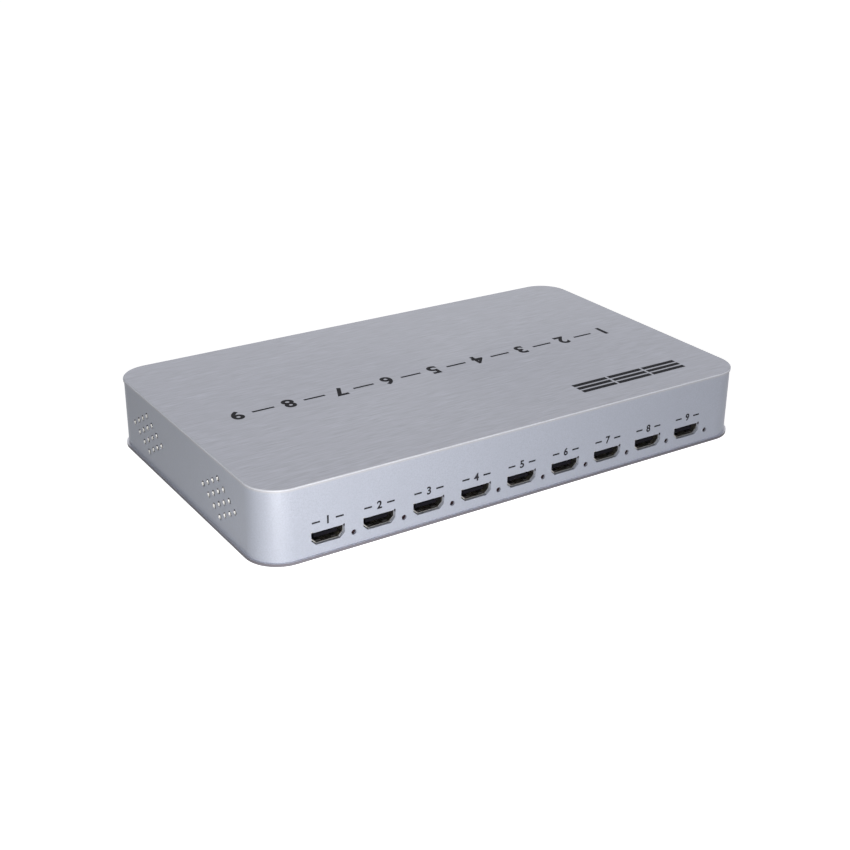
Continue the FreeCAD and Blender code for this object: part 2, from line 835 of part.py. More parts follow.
def make_power_switch():
    """Make the switch body, its stem and the cap that stands in the wall's hole."""
    switch = new_body("power_switch")
    outline = new_sketch(switch, "XZ_Plane")
    half = "switch_width / 2"
    draw_rectangle(outline, "-" + half, half, "-" + half, half)
    add_pad(switch, outline, "switch_depth")
    chamber = new_sketch(switch, "XY_Plane")
    inside = "stem_collar + stem_gap"
    hole = "stem_radius + stem_gap"
    floor = "-(switch_cover + stem_collar_length + button_travel + 2 * switch_slack)"
    draw_polygon(chamber, [
        ("0", floor),
        (inside, floor),
        (inside, "-switch_cover"),
        (hole, "-switch_cover"),
        (hole, "0"),
        ("0", "0"),
    ])
    add_turned(switch, chamber, "V_Axis", cut=True)
    place_body(switch, "power_x", "switch_face", "button_z")

    stem = new_body("power_stem")
    profile = new_sketch(stem, "XY_Plane")
    collar_front = "-(switch_cover + switch_slack)"
    collar_back = "-(switch_cover + switch_slack + stem_collar_length)"
    tip = "wall_y + button_proud - button_length + button_socket - switch_face"
    draw_polygon(profile, [
        ("0", collar_back),
        ("stem_collar", collar_back),
        ("stem_collar", collar_front),
        ("stem_radius", collar_front),
        ("stem_radius", tip),
        ("0", tip),
    ])
    add_turned(stem, profile, "V_Axis")
    place_body(stem, "power_x", "switch_face", "button_z")

    cap = new_body("power_button")
    profile = new_sketch(cap, "XY_Plane")
    front = "wall_y + button_proud"
    back = "wall_y + button_proud - button_length"
    draw_polygon(profile, [
        ("stem_radius + thread_gap", back),
        ("button_radius", back),
        ("button_radius", front + " - button_edge"),
        ("button_radius - button_edge", front),
        ("0", front),
        ("0", back + " + button_socket"),
        ("stem_radius + thread_gap", back + " + button_socket"),
    ])
    add_turned(cap, profile, "V_Axis")
    place_body(cap, "power_x", "0 * wall_y", "button_z")


# Keys: long stems of upright push switches that reach through the wall

def make_keys():
    """Make the key switches as one group and each key by itself."""
    switches = []
    for index in range(KEYS):
        across = "first_key_x - key_pitch * %d" % index
        along = ("key_face - key_body_depth", "key_face")
        up = ("board_top", "board_top + key_body_height")
        block = new_block("key_body", centred(across, "key_body_width"), along, up)
        start = (across, "key_face - key_cover", "key_z")
        hole = new_rod("key_hole", "key_radius + stem_gap", "key_cover", start, "back")
        room = "key_collar_length + key_travel + 2 * switch_slack"
        start = (across, "key_face - key_cover - (%s)" % room, "key_z")
        chamber = new_rod("key_chamber", "key_collar + stem_gap", room, start, "back")
        switches.append(new_cut("key_switch", block, new_fuse("key_room", [hole, chamber])))
    keep_group("key_switches", switches)
    for index in range(KEYS):
        key = new_body("key_%d" % (index + 1))
        profile = new_sketch(key, "XY_Plane")
        collar_front = "key_face - key_cover - switch_slack"
        front = "wall_y + key_proud"
        draw_polygon(profile, [
            ("0", collar_front + " - key_collar_length"),
            ("key_collar", collar_front + " - key_collar_length"),
            ("key_collar", collar_front),
            ("key_radius", collar_front),
            ("key_radius", front + " - key_edge"),
            ("key_radius - key_edge", front),
            ("0", front),
        ])
        add_turned(key, profile, "V_Axis")
        place_body(key, "first_key_x - key_pitch * %d" % index, "0 * wall_y", "key_z")


# Power inlet

def make_jack():
    """Make the round power inlet and its centre pin."""
    jack = new_body("dc_jack")
    block = new_sketch(jack, "XZ_Plane", "-(inner_y - jack_depth)")
    half = "jack_width / 2"
    draw_rectangle(block, "-" + half, half, "board_top", "board_top + jack_height")
    add_pad(jack, block, "jack_depth", reverse=True)
    nose = new_sketch(jack, "XZ_Plane", "-inner_y")
    draw_circle(nose, "0", "jack_z", "jack_nose")
    add_pad(jack, nose, "wall_thickness - back_recess", reverse=True)
    bore = new_sketch(jack, "XZ_Plane", "-(mouth_y - jack_bore_depth)")
    draw_circle(bore, "0", "jack_z", "jack_bore")
    add_pocket(jack, bore, "jack_bore_depth + wall_thickness")
    place_body(jack, "jack_x", "0 * wall_y", "0 * wall_y")
    start = ("jack_x", "mouth_y - jack_bore_depth", "jack_z")
    reach = "jack_bore_depth - jack_pin_recess"
    keep_piece(new_rod("jack_pin", "jack_pin", reach, start, "back"), "dc_jack_pin")


# USB socket

def make_usb():
    """Make the USB socket: a metal shell with a plastic tongue in its upper half."""
    shell = new_body("usb_shell")
    outline = new_sketch(shell, "XZ_Plane")
    outer_width = "usb_width + 2 * usb_thickness"
    outer_height = "usb_height + 2 * usb_thickness"
    draw_rectangle(outline, *centred("0", outer_width), *centred("0", outer_height))
    add_pad(shell, outline, "usb_depth")
    for start in ("usb_depth / 4", "3 * usb_depth / 4"):
        legs = new_sketch(shell, "XZ_Plane", start)
        outside = "usb_width / 2 + usb_thickness"
        draw_rectangle(legs, "usb_width / 2", outside, "board_top - usb_mid", "0")
        draw_rectangle(legs, "-(%s)" % outside, "-usb_width / 2", "board_top - usb_mid", "0")
        add_pad(shell, legs, "leg_width")
    opening = new_sketch(shell, "XZ_Plane", "usb_depth")
    draw_rectangle(opening, *centred("0", "usb_width"), *centred("0", "usb_height"))
    add_pocket(shell, opening, "usb_depth")
    place_body(shell, "usb_x", "mouth_y", "usb_mid")
    insert = new_body("usb_insert")
    block = new_sketch(insert, "XZ_Plane", "usb_depth")
    sides = centred("0", "usb_width - 2 * insert_gap")
    draw_rectangle(block, *sides, *centred("0", "usb_height - 2 * insert_gap"))
    add_pad(insert, block, "usb_block", reverse=True)
    tongue = new_sketch(insert, "XZ_Plane", "usb_tongue_recess")
    tongue_top = "usb_height / 2 - usb_tongue_drop"
    tongue_low = tongue_top + " - usb_tongue_thickness"
    draw_rectangle(tongue, *centred("0", "usb_tongue_width"), tongue_low, tongue_top)
    add_pad(insert, tongue, "usb_depth - usb_block - usb_tongue_recess")
    place_body(insert, "usb_x", "mouth_y", "usb_mid")


# Serial terminal

def make_serial():
    """Make the three-way serial terminal and its pins."""
    header = new_body("serial_header")
    outline = new_sketch(header, "XZ_Plane")
    draw_rectangle(outline, *centred("0", "serial_width"), *centred("0", "serial_height"))
    add_pad(header, outline, "serial_depth")
    cavity = new_sketch(header, "XZ_Plane", "serial_cavity")
    inner_width = "serial_width - 2 * serial_wall"
    inner_height = "serial_height - 2 * serial_wall"
    draw_rectangle(cavity, *centred("0", inner_width), *centred("0", inner_height))
    add_pocket(header, cavity, "serial_cavity")
    place_body(header, "serial_x", "mouth_y", "serial_mid")
    pins = []
    for index in (-1, 0, 1):
        across = centred("serial_x + (%d) * serial_pin_pitch" % index, "serial_pin_width")
        along = ("mouth_y - serial_cavity", "mouth_y - serial_pin_recess")
        pins.append(new_block("serial_pin", across, along, centred("serial_mid", "serial_pin_width")))
    keep_group("serial_pins", pins)


# Infrared window and receiver

def make_window():
    """Make the flanged window in the wall and the receiver behind it."""
    window = new_body("ir_window")
    profile = new_sketch(window, "XY_Plane")
    draw_polygon(profile, [
        ("0", "inner_y - window_flange_thickness"),
        ("window_flange", "inner_y - window_flange_thickness"),
        ("window_flange", "inner_y"),
        ("window_radius", "inner_y"),
        ("window_radius", "mouth_y"),
        ("0", "mouth_y"),
    ])
    add_turned(window, profile, "V_Axis")
    place_body(window, "window_x", "0 * wall_y", "window_z")
    front = "inner_y - window_flange_thickness - receiver_gap - receiver_lens"
    along = (front + " - receiver_depth", front)
    up = ("board_top", "board_top + receiver_height")
    block = new_block("receiver_block", centred("window_x", "receiver_width"), along, up)
    lens = new_rod("receiver_lens", "receiver_lens", "receiver_lens", ("window_x", front, "window_z"), "back")
    keep_piece(new_fuse("receiver", [block, lens]), "ir_receiver")


# Processor, heat sink and the rest of the board

def make_processor():
    """Make the video processor, its thermal pad, the finned heat sink and its pins."""
    across, along = "processor_x", "processor_y"
    sides = (centred(across, "processor_size"), centred(along, "processor_size"))
    keep_piece(new_block("processor", *sides, ("board_top", "pad_low")), "video_processor")
    sides = (centred(across, "pad_size"), centred(along, "pad_size"))
    keep_piece(new_block("pad", *sides, ("pad_low", "sink_low")), "thermal_pad")
    sink = new_body("heat_sink")
    base = new_sketch(sink, "XY_Plane")
    draw_rectangle(base, *centred("0", "sink_length"), *centred("0", "sink_width"))
    add_pad(sink, base, "sink_base")
    blade = new_sketch(sink, "XY_Plane", "sink_base")
    low = "-sink_length / 2"
    pin_clear = "sink_pin_y - 2 * sink_pin_head"
    draw_rectangle(blade, low, low + " + fin_thickness", "-(%s)" % pin_clear, pin_clear)
    fin = add_pad(sink, blade, "fin_height")
    row = sink.newObject("PartDesign::LinearPattern", "heat_sink_fins")
    row.Originals = [fin]
    row.Direction = (base, ["H_Axis"])
    bind(row, "Length", "sink_length - fin_thickness")
    row.Occurrences = FINS
    sink.Tip = row
    holes = new_sketch(sink, "XY_Plane")
    for side in (-1, 1):
        draw_circle(holes, "%d * sink_pin_x" % side, "%d * sink_pin_y" % side, "sink_pin_hole")
    add_pocket(sink, holes, "sink_base", reverse=True)
    place_body(sink, across, along, "sink_low")
    pins = []
    for side in (-1, 1):
        place = (across + " + %d * sink_pin_x" % side, along + " + %d * sink_pin_y" % side)
        head_level = "sink_low + sink_base"
        shank = new_rod("pin_shank", "sink_pin_radius", head_level + " - board_low", (*place, "board_low"))
        head = new_rod("pin_head", "sink_pin_head", "sink_pin_head_height", (*place, head_level))
        pins.append(new_fuse("sink_pin", [shank, head]))
    keep_group("heat_sink_pins", pins)


def make_chip(name, across, along, length, width, height):
    """Make one flat package that stands on the board."""
    up = ("board_top", "board_top + " + height)
    return new_block(name, centred(across, length), centred(along, width), up)


def make_chips():
    """Make the socket drivers, memory, input receiver, control chip and crystal."""
    drivers = [
        make_chip("driver", socket_x(index), "driver_y", "driver_size", "driver_size", "driver_height")
        for index in range(OUTPUTS)
    ]
    keep_group("output_driver_chips", drivers)
    memory = [
        make_chip(
            "memory",
            "processor_x + %d * memory_x" % side,
            "processor_y + %d * memory_y" % level,
            "memory_width",
            "memory_length",
            "memory_height",
        )
        for side in (-1, 1)
        for level in (-1, 1)
    ]
    keep_group("memory_chips", memory)
    size = "receiver_chip_size"
    chip = make_chip("input_chip", "input_x", "receiver_chip_y", size, size, "driver_height")
    keep_piece(chip, "input_receiver_chip")
    size = "control_chip_size"
    chip = make_chip("control", "control_chip_x", "control_chip_y", size, size, "driver_height")
    keep_piece(chip, "control_chip")
    place = "control_chip_x - control_chip_size / 2 - crystal_gap - crystal_length / 2"
    crystal_size = ("crystal_length", "crystal_width", "crystal_height")
    crystal = make_chip("quartz", place, "control_chip_y", *crystal_size)
    keep_piece(crystal, "crystal")


def make_power_parts():
    """Make the shielded inductors and the can capacitors beside the power inlet."""
    inductors = []
    capacitors = []
    for index in (-1, 0, 1):
        along = "(%d) * inductor_pitch" % index
        size = "inductor_size"
        inductors.append(make_chip("coil", "inductor_x", along, size, size, "inductor_height"))
    for index in (-1, 0, 1, 2):
        along = "(%d) * capacitor_pitch" % index
        size = "capacitor_base"
        base = make_chip("can_base", "capacitor_x", along, size, size, "capacitor_base_height")
        start = ("capacitor_x", along, "board_top + capacitor_base_height")
        can = new_rod("can", "capacitor_radius", "capacitor_height - capacitor_base_height", start)
        capacitors.append(new_fuse("can_capacitor", [base, can]))
    keep_group("power_inductors", inductors)
    keep_group("can_capacitors", capacitors)


def write_parts():
    """Check every object and every sub-part, then write one file for each sub-part."""
    doc.recompute()
    for item in doc.Objects:
        if "Invalid" in item.State or "Error" in item.State:
            raise ValueError("%s is not built: %s" % (item.Label, item.State))
    for part in parts:
        if part.Shape.isNull() or not part.Shape.isValid():
            raise ValueError(part.Label + " has no valid shape")
    os.makedirs("parts", exist_ok=True)
    for part in parts:
        part.Shape.exportStep("parts/%s.step" % part.Label)
    solids = sum(len(part.Shape.Solids) for part in parts)
    print("%d sub-parts, %d solids" % (len(parts), solids))


make_plate()
make_feet()
make_wall()
make_lid()
make_case_screws()
make_board()
make_board_fixings()
for output in range(OUTPUTS):
    labels = ("hdmi_out_shell_%d" % (output + 1), "hdmi_out_insert_%d" % (output + 1))
    make_socket(*labels, socket_x(output), "-socket_mouth", 0)
make_socket("hdmi_in_shell", "hdmi_in_insert", "input_x", "socket_mouth", 180)
make_lights("output_lights", [socket_x(output) + " + light_offset" for output in range(OUTPUTS)], -1)
make_lights("status_light", ["status_x"], 1)
make_power_switch()
make_keys()
make_jack()
make_usb()
make_serial()
make_window()
make_processor()
make_chips()
make_power_parts()
write_parts()
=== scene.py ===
"""Looks of a video wall controller: a flat aluminium case with nine video outputs in its front wall.

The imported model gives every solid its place. This file dresses each node with its own finish and adds
the small things that the solids leave out: contacts, screw recesses and threads, printed numerals,
board parts, the moulded feet, the studio and the camera.
"""

import logging
import math
import random
from collections.abc import Iterable, Sequence
from dataclasses import dataclass
from enum import Enum
from typing import Any, ClassVar

import bmesh
import bpy
from mathutils import Matrix, Vector

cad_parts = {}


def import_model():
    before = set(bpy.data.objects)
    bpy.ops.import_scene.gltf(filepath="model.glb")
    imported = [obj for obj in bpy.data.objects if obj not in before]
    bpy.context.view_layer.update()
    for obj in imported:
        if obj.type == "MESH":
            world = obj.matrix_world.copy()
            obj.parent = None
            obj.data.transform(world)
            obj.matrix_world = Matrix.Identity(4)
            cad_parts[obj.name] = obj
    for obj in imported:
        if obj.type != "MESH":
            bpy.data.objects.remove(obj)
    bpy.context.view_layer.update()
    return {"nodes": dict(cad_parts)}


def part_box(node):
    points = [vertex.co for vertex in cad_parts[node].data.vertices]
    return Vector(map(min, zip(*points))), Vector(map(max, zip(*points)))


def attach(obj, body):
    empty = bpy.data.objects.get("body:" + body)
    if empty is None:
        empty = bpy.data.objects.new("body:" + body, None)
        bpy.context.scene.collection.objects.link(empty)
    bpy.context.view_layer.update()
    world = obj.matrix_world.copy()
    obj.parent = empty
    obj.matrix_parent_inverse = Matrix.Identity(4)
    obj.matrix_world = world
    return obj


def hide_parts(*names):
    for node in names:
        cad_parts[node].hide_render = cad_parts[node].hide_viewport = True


LOG = logging.getLogger("video_wall_controller")
MM = 0.001
HOUSING = "housing"
OUTPUTS = range(1, 10)
WELD = 0.001 * MM
SORT_DIGITS = 5
NOISE_RANGE = (0.25, 0.75)
RISE = (0.0, 1.0)
FALL = (1.0, 0.0)
Pair = tuple[float, float]
Triple = tuple[float, float, float]
Socket = bpy.types.NodeSocket
Point = bmesh.types.BMVert


# Finishes

class Grain(Enum):
    """Surface grains, each as the number of cells per grain size along X, Y and Z."""

    FINE = (1.0, 1.0, 1.0)
    BRUSHED = (0.055, 1.0, 1.0)
    DRAWN = (1.0, 0.02, 1.0)


class Mixed(Enum):
    """What a mix node mixes, as its data type and the numbers of its two inputs and its output."""

    NUMBERS = ("FLOAT", 2, 3, 0)
    COLOURS = ("RGBA", 6, 7, 2)


class Graph:
    """Node tree of a material or of the world, with short ways to add and feed its nodes."""

    def __init__(self, owner: bpy.types.ID) -> None:
        """Take over a tree and empty it.

        Args:
            owner: Material or world that the tree belongs to.
        """
        owner.use_nodes = True
        self.owner = owner
        self.tree = owner.node_tree
        self.tree.nodes.clear()

    def add(self, kind: str, feeds: dict[Any, Any] | None = None, **settings: Any) -> bpy.types.Node:
        """Add one node, set its properties and feed its inputs.

        Args:
            kind: Type of the node.
            feeds: Value, colour or socket for each input, by the input's name or number.
            settings: Properties to set on the node.

        Returns:
            The new node.
        """
        node = self.tree.nodes.new(kind)
        for key, value in settings.items():
            setattr(node, key, value)
        for key, value in (feeds or {}).items():
            target = node.inputs[key]
            if isinstance(value, Socket):
                self.tree.links.new(value, target)
            else:
                target.default_value = (*value, 1.0) if target.type == "RGBA" else value
        return node

    def place(self) -> Socket:
        """Return the object's own coordinates."""
        return self.add("ShaderNodeTexCoord").outputs["Object"]

    def normal(self) -> Socket:
        """Return the normal of the flat faces, before smoothing."""
        return self.add("ShaderNodeNewGeometry").outputs["True Normal"]

    def cells(self, stretch: Sequence[float], size: float, detail: float = 2.0) -> Socket:
        """Add a noise in the object's own coordinates.

        Args:
            stretch: Cells per size along X, Y and Z.
            size: Size of one cell in metres.
            detail: Octaves of the noise.

        Returns:
            The noise's factor, about 0.5 on average.
        """
        feeds = {"Vector": self.place(), "Scale": [step / size for step in stretch]}
        scaled = self.add("ShaderNodeMapping", feeds)
        feeds = {"Vector": scaled.outputs["Vector"], "Scale": 1.0, "Detail": detail}
        return self.add("ShaderNodeTexNoise", feeds).outputs["Fac"]

    def ramp(self, value: Socket, start: Pair, end: Pair = RISE) -> Socket:
        """Map a value from one range to another.

        Args:
            value: Value to map.
            start: Range that it comes in.
            end: Range that it goes to.

        Returns:
            The mapped value, held within the second range.
        """
        names = ("Value", "From Min", "From Max", "To Min", "To Max")
        feeds = dict(zip(names, (value, *start, *end)))
        return self.add("ShaderNodeMapRange", feeds).outputs["Result"]

    def spread(self, noise: Socket, low: float, high: float) -> Socket:
        """Spread a noise from a value at its dark cells to one at its light cells."""
        return self.ramp(noise, NOISE_RANGE, (low, high))

    def mix(self, factor: Socket, first: Any, second: Any, what: Mixed = Mixed.NUMBERS) -> Socket:
        """Mix two values or sockets.

        Args:
            factor: 0 for the first, 1 for the second.
            first: Number, colour or socket.
            second: Number, colour or socket.
            what: Whether numbers or colours are mixed.

        Returns:
            The mixed value.
        """
        kind, low, high, result = what.value
        node = self.add("ShaderNodeMix", {"Factor": factor, low: first, high: second}, data_type=kind)
        return node.outputs[result]

    def blend(self, factor: Socket, first: Any, second: Any) -> Socket:
        """Mix two colours or sockets."""
        return self.mix(factor, first, second, Mixed.COLOURS)

    def calc(self, operation: str, first: Socket, second: Any = 0.0) -> Socket:
        """Return the result of one operation on one or two numbers."""
        return self.add("ShaderNodeMath", {0: first, 1: second}, operation=operation).outputs["Value"]

    def product(self, first: Socket, second: Socket) -> Socket:
        """Multiply two numbers."""
        return self.calc("MULTIPLY", first, second)

    def part_of(self, vector: Socket, axis: str) -> Socket:
        """Return a vector's part along one axis."""
        return self.add("ShaderNodeSeparateXYZ", {"Vector": vector}).outputs[axis]

    def size_of(self, vector: Socket, axis: str) -> Socket:
        """Return the size of a vector's part along one axis, without its sign."""
        return self.calc("ABSOLUTE", self.part_of(vector, axis))

    def seen(self) -> Socket:
        """Tell the rays that see a surface from those that light with it.

        Returns:
            1 for camera, glossy and transmission rays, else 0.
        """
        path = self.add("ShaderNodeLightPath")
        found = path.outputs["Is Camera Ray"]
        for name in ("Is Glossy Ray", "Is Transmission Ray"):
            found = self.calc("MAXIMUM", found, path.outputs[name])
        return found


def shade(colour: Triple, share: float) -> Triple:
    """Return a colour lightened by a share, or darkened by one below 0."""
    return tuple(min(1.0, part * (1.0 + share)) for part in colour)


@dataclass(frozen=True)
class Finish:
    """One finish: colour, gloss and grain."""

    name: str
    colour: Triple
    roughness: float
    metallic: float = 0.0
    slot: str | None = None
    grain: Grain = Grain.FINE
    grain_size: float = 0.4 * MM
    tone: float = 0.06
    gloss_spread: float = 0.05
    relief: float = 0.01 * MM
    cloud_size: float = 18.0 * MM
    cloud: float = 0.03
    cloud_share: float = 0.5
    specular: float = 0.5
    anisotropy: float = 0.0
    coat: float = 0.0

    def material(self) -> bpy.types.Material:
        """Make the material of the finish, or find it if it has been made before.

        Returns:
            The material.
        """
        found = bpy.data.materials.get(self.name)
        if found:
            return found
        graph = Graph(bpy.data.materials.new(self.name))
        grain = graph.cells(self.grain.value, self.grain_size)
        slow = graph.cells(Grain.FINE.value, self.cloud_size, detail=1.0)
        dark, light, dim = (shade(self.colour, share) for share in (-self.tone, self.tone, -self.cloud))
        fine = graph.blend(graph.spread(grain, 0.0, 1.0), dark, light)
        colour = graph.blend(graph.spread(slow, 0.0, self.cloud_share), fine, dim)
        rough = graph.spread(grain, self.roughness - self.gloss_spread, self.roughness + self.gloss_spread)
        bump = graph.add("ShaderNodeBump", {"Strength": 1.0, "Distance": self.relief, "Height": grain})
        feeds = {
            **self.layer(graph, colour, grain), "Roughness": rough, "Normal": bump.outputs["Normal"],
            "Specular IOR Level": self.specular, "Anisotropic": self.anisotropy, "Coat Weight": self.coat,
        }
        shader = graph.add("ShaderNodeBsdfPrincipled", feeds)
        graph.add("ShaderNodeOutputMaterial", {"Surface": shader.outputs["BSDF"]})
        return graph.owner

    def layer(self, graph: Graph, colour: Socket, grain: Socket) -> dict[str, Any]:
        """Return what feeds the shader's colour and metal: a plain finish has no further layer."""
        return {"Base Color": colour, "Metallic": self.metallic}

    def cover(self, thing: bpy.types.Object) -> None:
        """Give a thing this finish as its only one.

        Args:
            thing: Node or piece of the model.
        """
        thing.data.materials.clear()
        thing.data.materials.append(self.material())


@dataclass(frozen=True)
class CutEdgeFinish(Finish):
    """Sheet whose upright edges, slanted bevels and rim differ from its level faces; the rim is a painted
    highlight.
    """

    edge: Triple = (0.40, 0.415, 0.48)
    edge_metallic: float = 0.15
    edge_range: Pair = (0.8, 0.95)
    bevel: Triple = (0.68, 0.715, 0.80)
    bevel_metallic: float = 0.35
    bevel_range: Pair = (0.2, 0.5)
    # Level of the painted highlight along the top of the upright edges; 1 m leaves it out.
    rim_level: float = 1.0
    rim_depth: float = 0.05 * MM
    speckle: Triple = (0.1, 0.1, 0.12)
    speckle_share: float = 0.12

    def layer(self, graph: Graph, colour: Socket, grain: Socket) -> dict[str, Any]:
        """Lay the finish of the cut over every face that isn't level, and a painted highlight along the rim.

        Args:
            graph: Tree of the finish.
            colour: Colour of the faces.
            grain: Fine noise of the finish.

        Returns:
            Colour and metal with the edges and bevels.
        """
        level = graph.size_of(graph.normal(), "Z")
        cut = graph.ramp(level, self.edge_range, FALL)
        slanted = graph.ramp(level, self.bevel_range)
        height = graph.part_of(graph.place(), "Z")
        # Painted highlight: the top of the upright edges, below the rim level, takes the bevel's bright
        # colour and metal.
        rim = graph.ramp(height, (self.rim_level - self.rim_depth, self.rim_level))
        bare = graph.blend(rim, graph.blend(slanted, self.edge, self.bevel), self.bevel)
        speckled = graph.blend(graph.spread(grain, 0.0, self.speckle_share), bare, self.speckle)
        bright = graph.mix(slanted, self.edge_metallic, self.bevel_metallic)
        metal = graph.mix(cut, self.metallic, graph.mix(rim, bright, self.bevel_metallic))
        return {"Base Color": graph.blend(cut, colour, speckled), "Metallic": metal}


@dataclass(frozen=True)
class DrilledFinish(Finish):
    """Anodised wall whose vents have bare mouths; painted shade darkens the deeper bores, their downward
    faces and the insides of the relief cuts.
    """

    bare: Triple = (0.93, 0.96, 1.0)
    bare_metallic: float = 0.05
    # Painted shade: this dark colour stands in for the shade deep in the vents, on their downward faces and
    # inside the relief cuts.
    bore: Triple = (0.03, 0.03, 0.045)
    mouth_face: float = 123.9 * MM
    inner_face: float = 122.4 * MM
    flat_reach: float = 58.0 * MM
    relief_level: float = 12.0 * MM
    relief_face: float = -72.0 * MM
    relief_reach: float = 112.0 * MM
    facing_range: Pair = (0.4, 0.6)
    roof_range: Pair = (-0.2, 0.1)
    change_reach: float = 0.1 * MM

    def layer(self, graph: Graph, colour: Socket, grain: Socket) -> dict[str, Any]:
        """Lay bare metal over the vents' mouths, and painted shade over their deeper bores, their downward
        faces and the relief cuts.

        Args:
            graph: Tree of the finish.
            colour: Colour of the wall.
            grain: Fine noise of the finish; not used here.

        Returns:
            Colour and metal with the holes.
        """
        place, normal = graph.place(), graph.normal()
        side = graph.size_of(place, "X")
        flat = graph.ramp(graph.size_of(place, "Y"), self.span(self.flat_reach), FALL)
        out = graph.product(graph.ramp(side, self.span(self.inner_face)), flat)
        holes = graph.product(out, graph.ramp(graph.size_of(normal, "X"), self.facing_range, FALL))
        # Painted shade on the faces of the vents that look down.
        roof_shade = graph.ramp(graph.part_of(normal, "Z"), self.roof_range, FALL)
        # Painted shade inside the relief cuts: upright faces of the front wall's cut-outs above the relief
        # level.
        front = graph.ramp(graph.part_of(place, "Y"), self.span(self.relief_face), FALL)
        high = graph.ramp(graph.part_of(place, "Z"), self.span(self.relief_level))
        inward = graph.ramp(graph.size_of(normal, "Y"), self.facing_range, FALL)
        near = graph.ramp(side, self.span(self.relief_reach), FALL)
        relief_shade = graph.product(graph.product(front, high), graph.product(inward, near))
        # Bare metal near each vent's mouth, painted shade deeper in the bore.
        mouth_then_shade = graph.blend(graph.ramp(side, self.span(self.mouth_face)), self.bore, self.bare)
        shaded_bores = graph.blend(roof_shade, mouth_then_shade, self.bore)
        cut = graph.blend(relief_shade, colour, self.bore)
        metal = graph.mix(holes, self.metallic, self.bare_metallic)
        return {"Base Color": graph.blend(holes, cut, shaded_bores), "Metallic": metal}

    def span(self, place: float) -> Pair:
        """Return a narrow range about a place, in which one finish gives way to the other."""
        return place - self.change_reach, place + self.change_reach


@dataclass(frozen=True)
class LaminateFinish(Finish):
    """Lacquered board with buried copper runs and bare fibre at its cut edges."""

    copper: Triple = (0.02, 0.16, 0.07)
    fibre: Triple = (0.42, 0.40, 0.20)
    run_pitch: float = 2.4 * MM
    run_length: float = 9.6 * MM
    run_width: float = 0.288 * MM
    edge_range: Pair = (0.3, 0.7)

    def layer(self, graph: Graph, colour: Socket, grain: Socket) -> dict[str, Any]:
        """Lay copper runs under the lacquer and fibre over the cut edges.

        Args:
            graph: Tree of the finish.
            colour: Colour of the lacquer.
            grain: Fine noise of the finish.

        Returns:
            Colour and metal with the runs and edges.
        """
        bricks = graph.add("ShaderNodeTexBrick", {
            "Vector": graph.place(), "Scale": 1.0, "Brick Width": self.run_length,
            "Row Height": self.run_pitch, "Mortar Size": self.run_width,
        })
        runs = graph.blend(bricks.outputs["Fac"], colour, self.copper)
        cut = graph.ramp(graph.size_of(graph.normal(), "Z"), self.edge_range, FALL)
        return super().layer(graph, graph.blend(cut, runs, self.fibre), grain)


WALL = DrilledFinish(
    "blasted_anodised_wall", (0.343, 0.378, 0.470), 0.42, metallic=0.13, slot="blasted_aluminium",
    grain_size=0.55 * MM, tone=0.10, gloss_spread=0.06, relief=0.015 * MM, cloud=0.04, specular=0.45,
)
TOP = CutEdgeFinish(
    "brushed_anodised_top", (0.385, 0.395, 0.45), 0.40, metallic=0.9, slot="brushed_aluminium",
    grain=Grain.BRUSHED, grain_size=0.45 * MM, tone=0.24, gloss_spread=0.07, relief=0.006 * MM,
    anisotropy=0.4, rim_level=34.36 * MM,
)
PLATE = CutEdgeFinish(
    "satin_bottom_plate", (0.58, 0.59, 0.65), 0.4, metallic=0.7, slot="plate_steel", grain_size=0.5 * MM,
    edge=(0.16, 0.157, 0.19), bevel=(0.16, 0.157, 0.19), edge_metallic=0.0, bevel_metallic=0.0, specular=0.1,
)
BOSS = Finish("turned_bosses", (0.55, 0.55, 0.56), 0.3, metallic=1.0, slot="turned_steel", tone=0.05)
SCREW = Finish("zinc_plated_screws", (0.58, 0.59, 0.62), 0.28, metallic=1.0, slot="screw_steel", tone=0.08)
RUBBER = Finish(
    "moulded_rubber", (0.022, 0.022, 0.024), 0.75, slot="foot_rubber", grain_size=0.25 * MM, relief=0.03 * MM
)
LAMINATE = LaminateFinish("lacquered_board", (0.012, 0.10, 0.045), 0.35, slot="board_laminate", tone=0.1)
BRASS = Finish("nickelled_standoffs", (0.62, 0.57, 0.42), 0.3, metallic=1.0, slot="standoff_brass")
LIGHT = Finish(
    "dark_red_light_resin", (0.012, 0.003, 0.007), 0.25, slot="light_resin", tone=0.2, specular=0.2
)
CHIP = Finish("chip_moulding", (0.025, 0.025, 0.027), 0.55, slot="chip_resin", grain_size=0.2 * MM)
PAD = Finish("thermal_silicone", (0.35, 0.38, 0.42), 0.7, slot="pad_silicone")
SINK = Finish(
    "extruded_heat_sink", (0.42, 0.43, 0.45), 0.4, metallic=1.0, slot="sink_aluminium", grain=Grain.DRAWN
)
PIN_NYLON = Finish("nylon_pins", (0.62, 0.60, 0.52), 0.5, slot="pin_nylon")
CRYSTAL = Finish("crystal_can", (0.65, 0.65, 0.66), 0.25, metallic=1.0, slot="crystal_can")
FERRITE = Finish("pressed_ferrite", (0.09, 0.09, 0.095), 0.6, slot="inductor_ferrite", tone=0.15)
CAN = Finish("capacitor_can", (0.66, 0.66, 0.68), 0.28, metallic=1.0, slot="capacitor_can")
SHELL = Finish(
    "plated_socket_shell", (0.60, 0.59, 0.57), 0.3, metallic=1.0, slot="socket_shell", grain=Grain.DRAWN,
    grain_size=0.3 * MM,
)
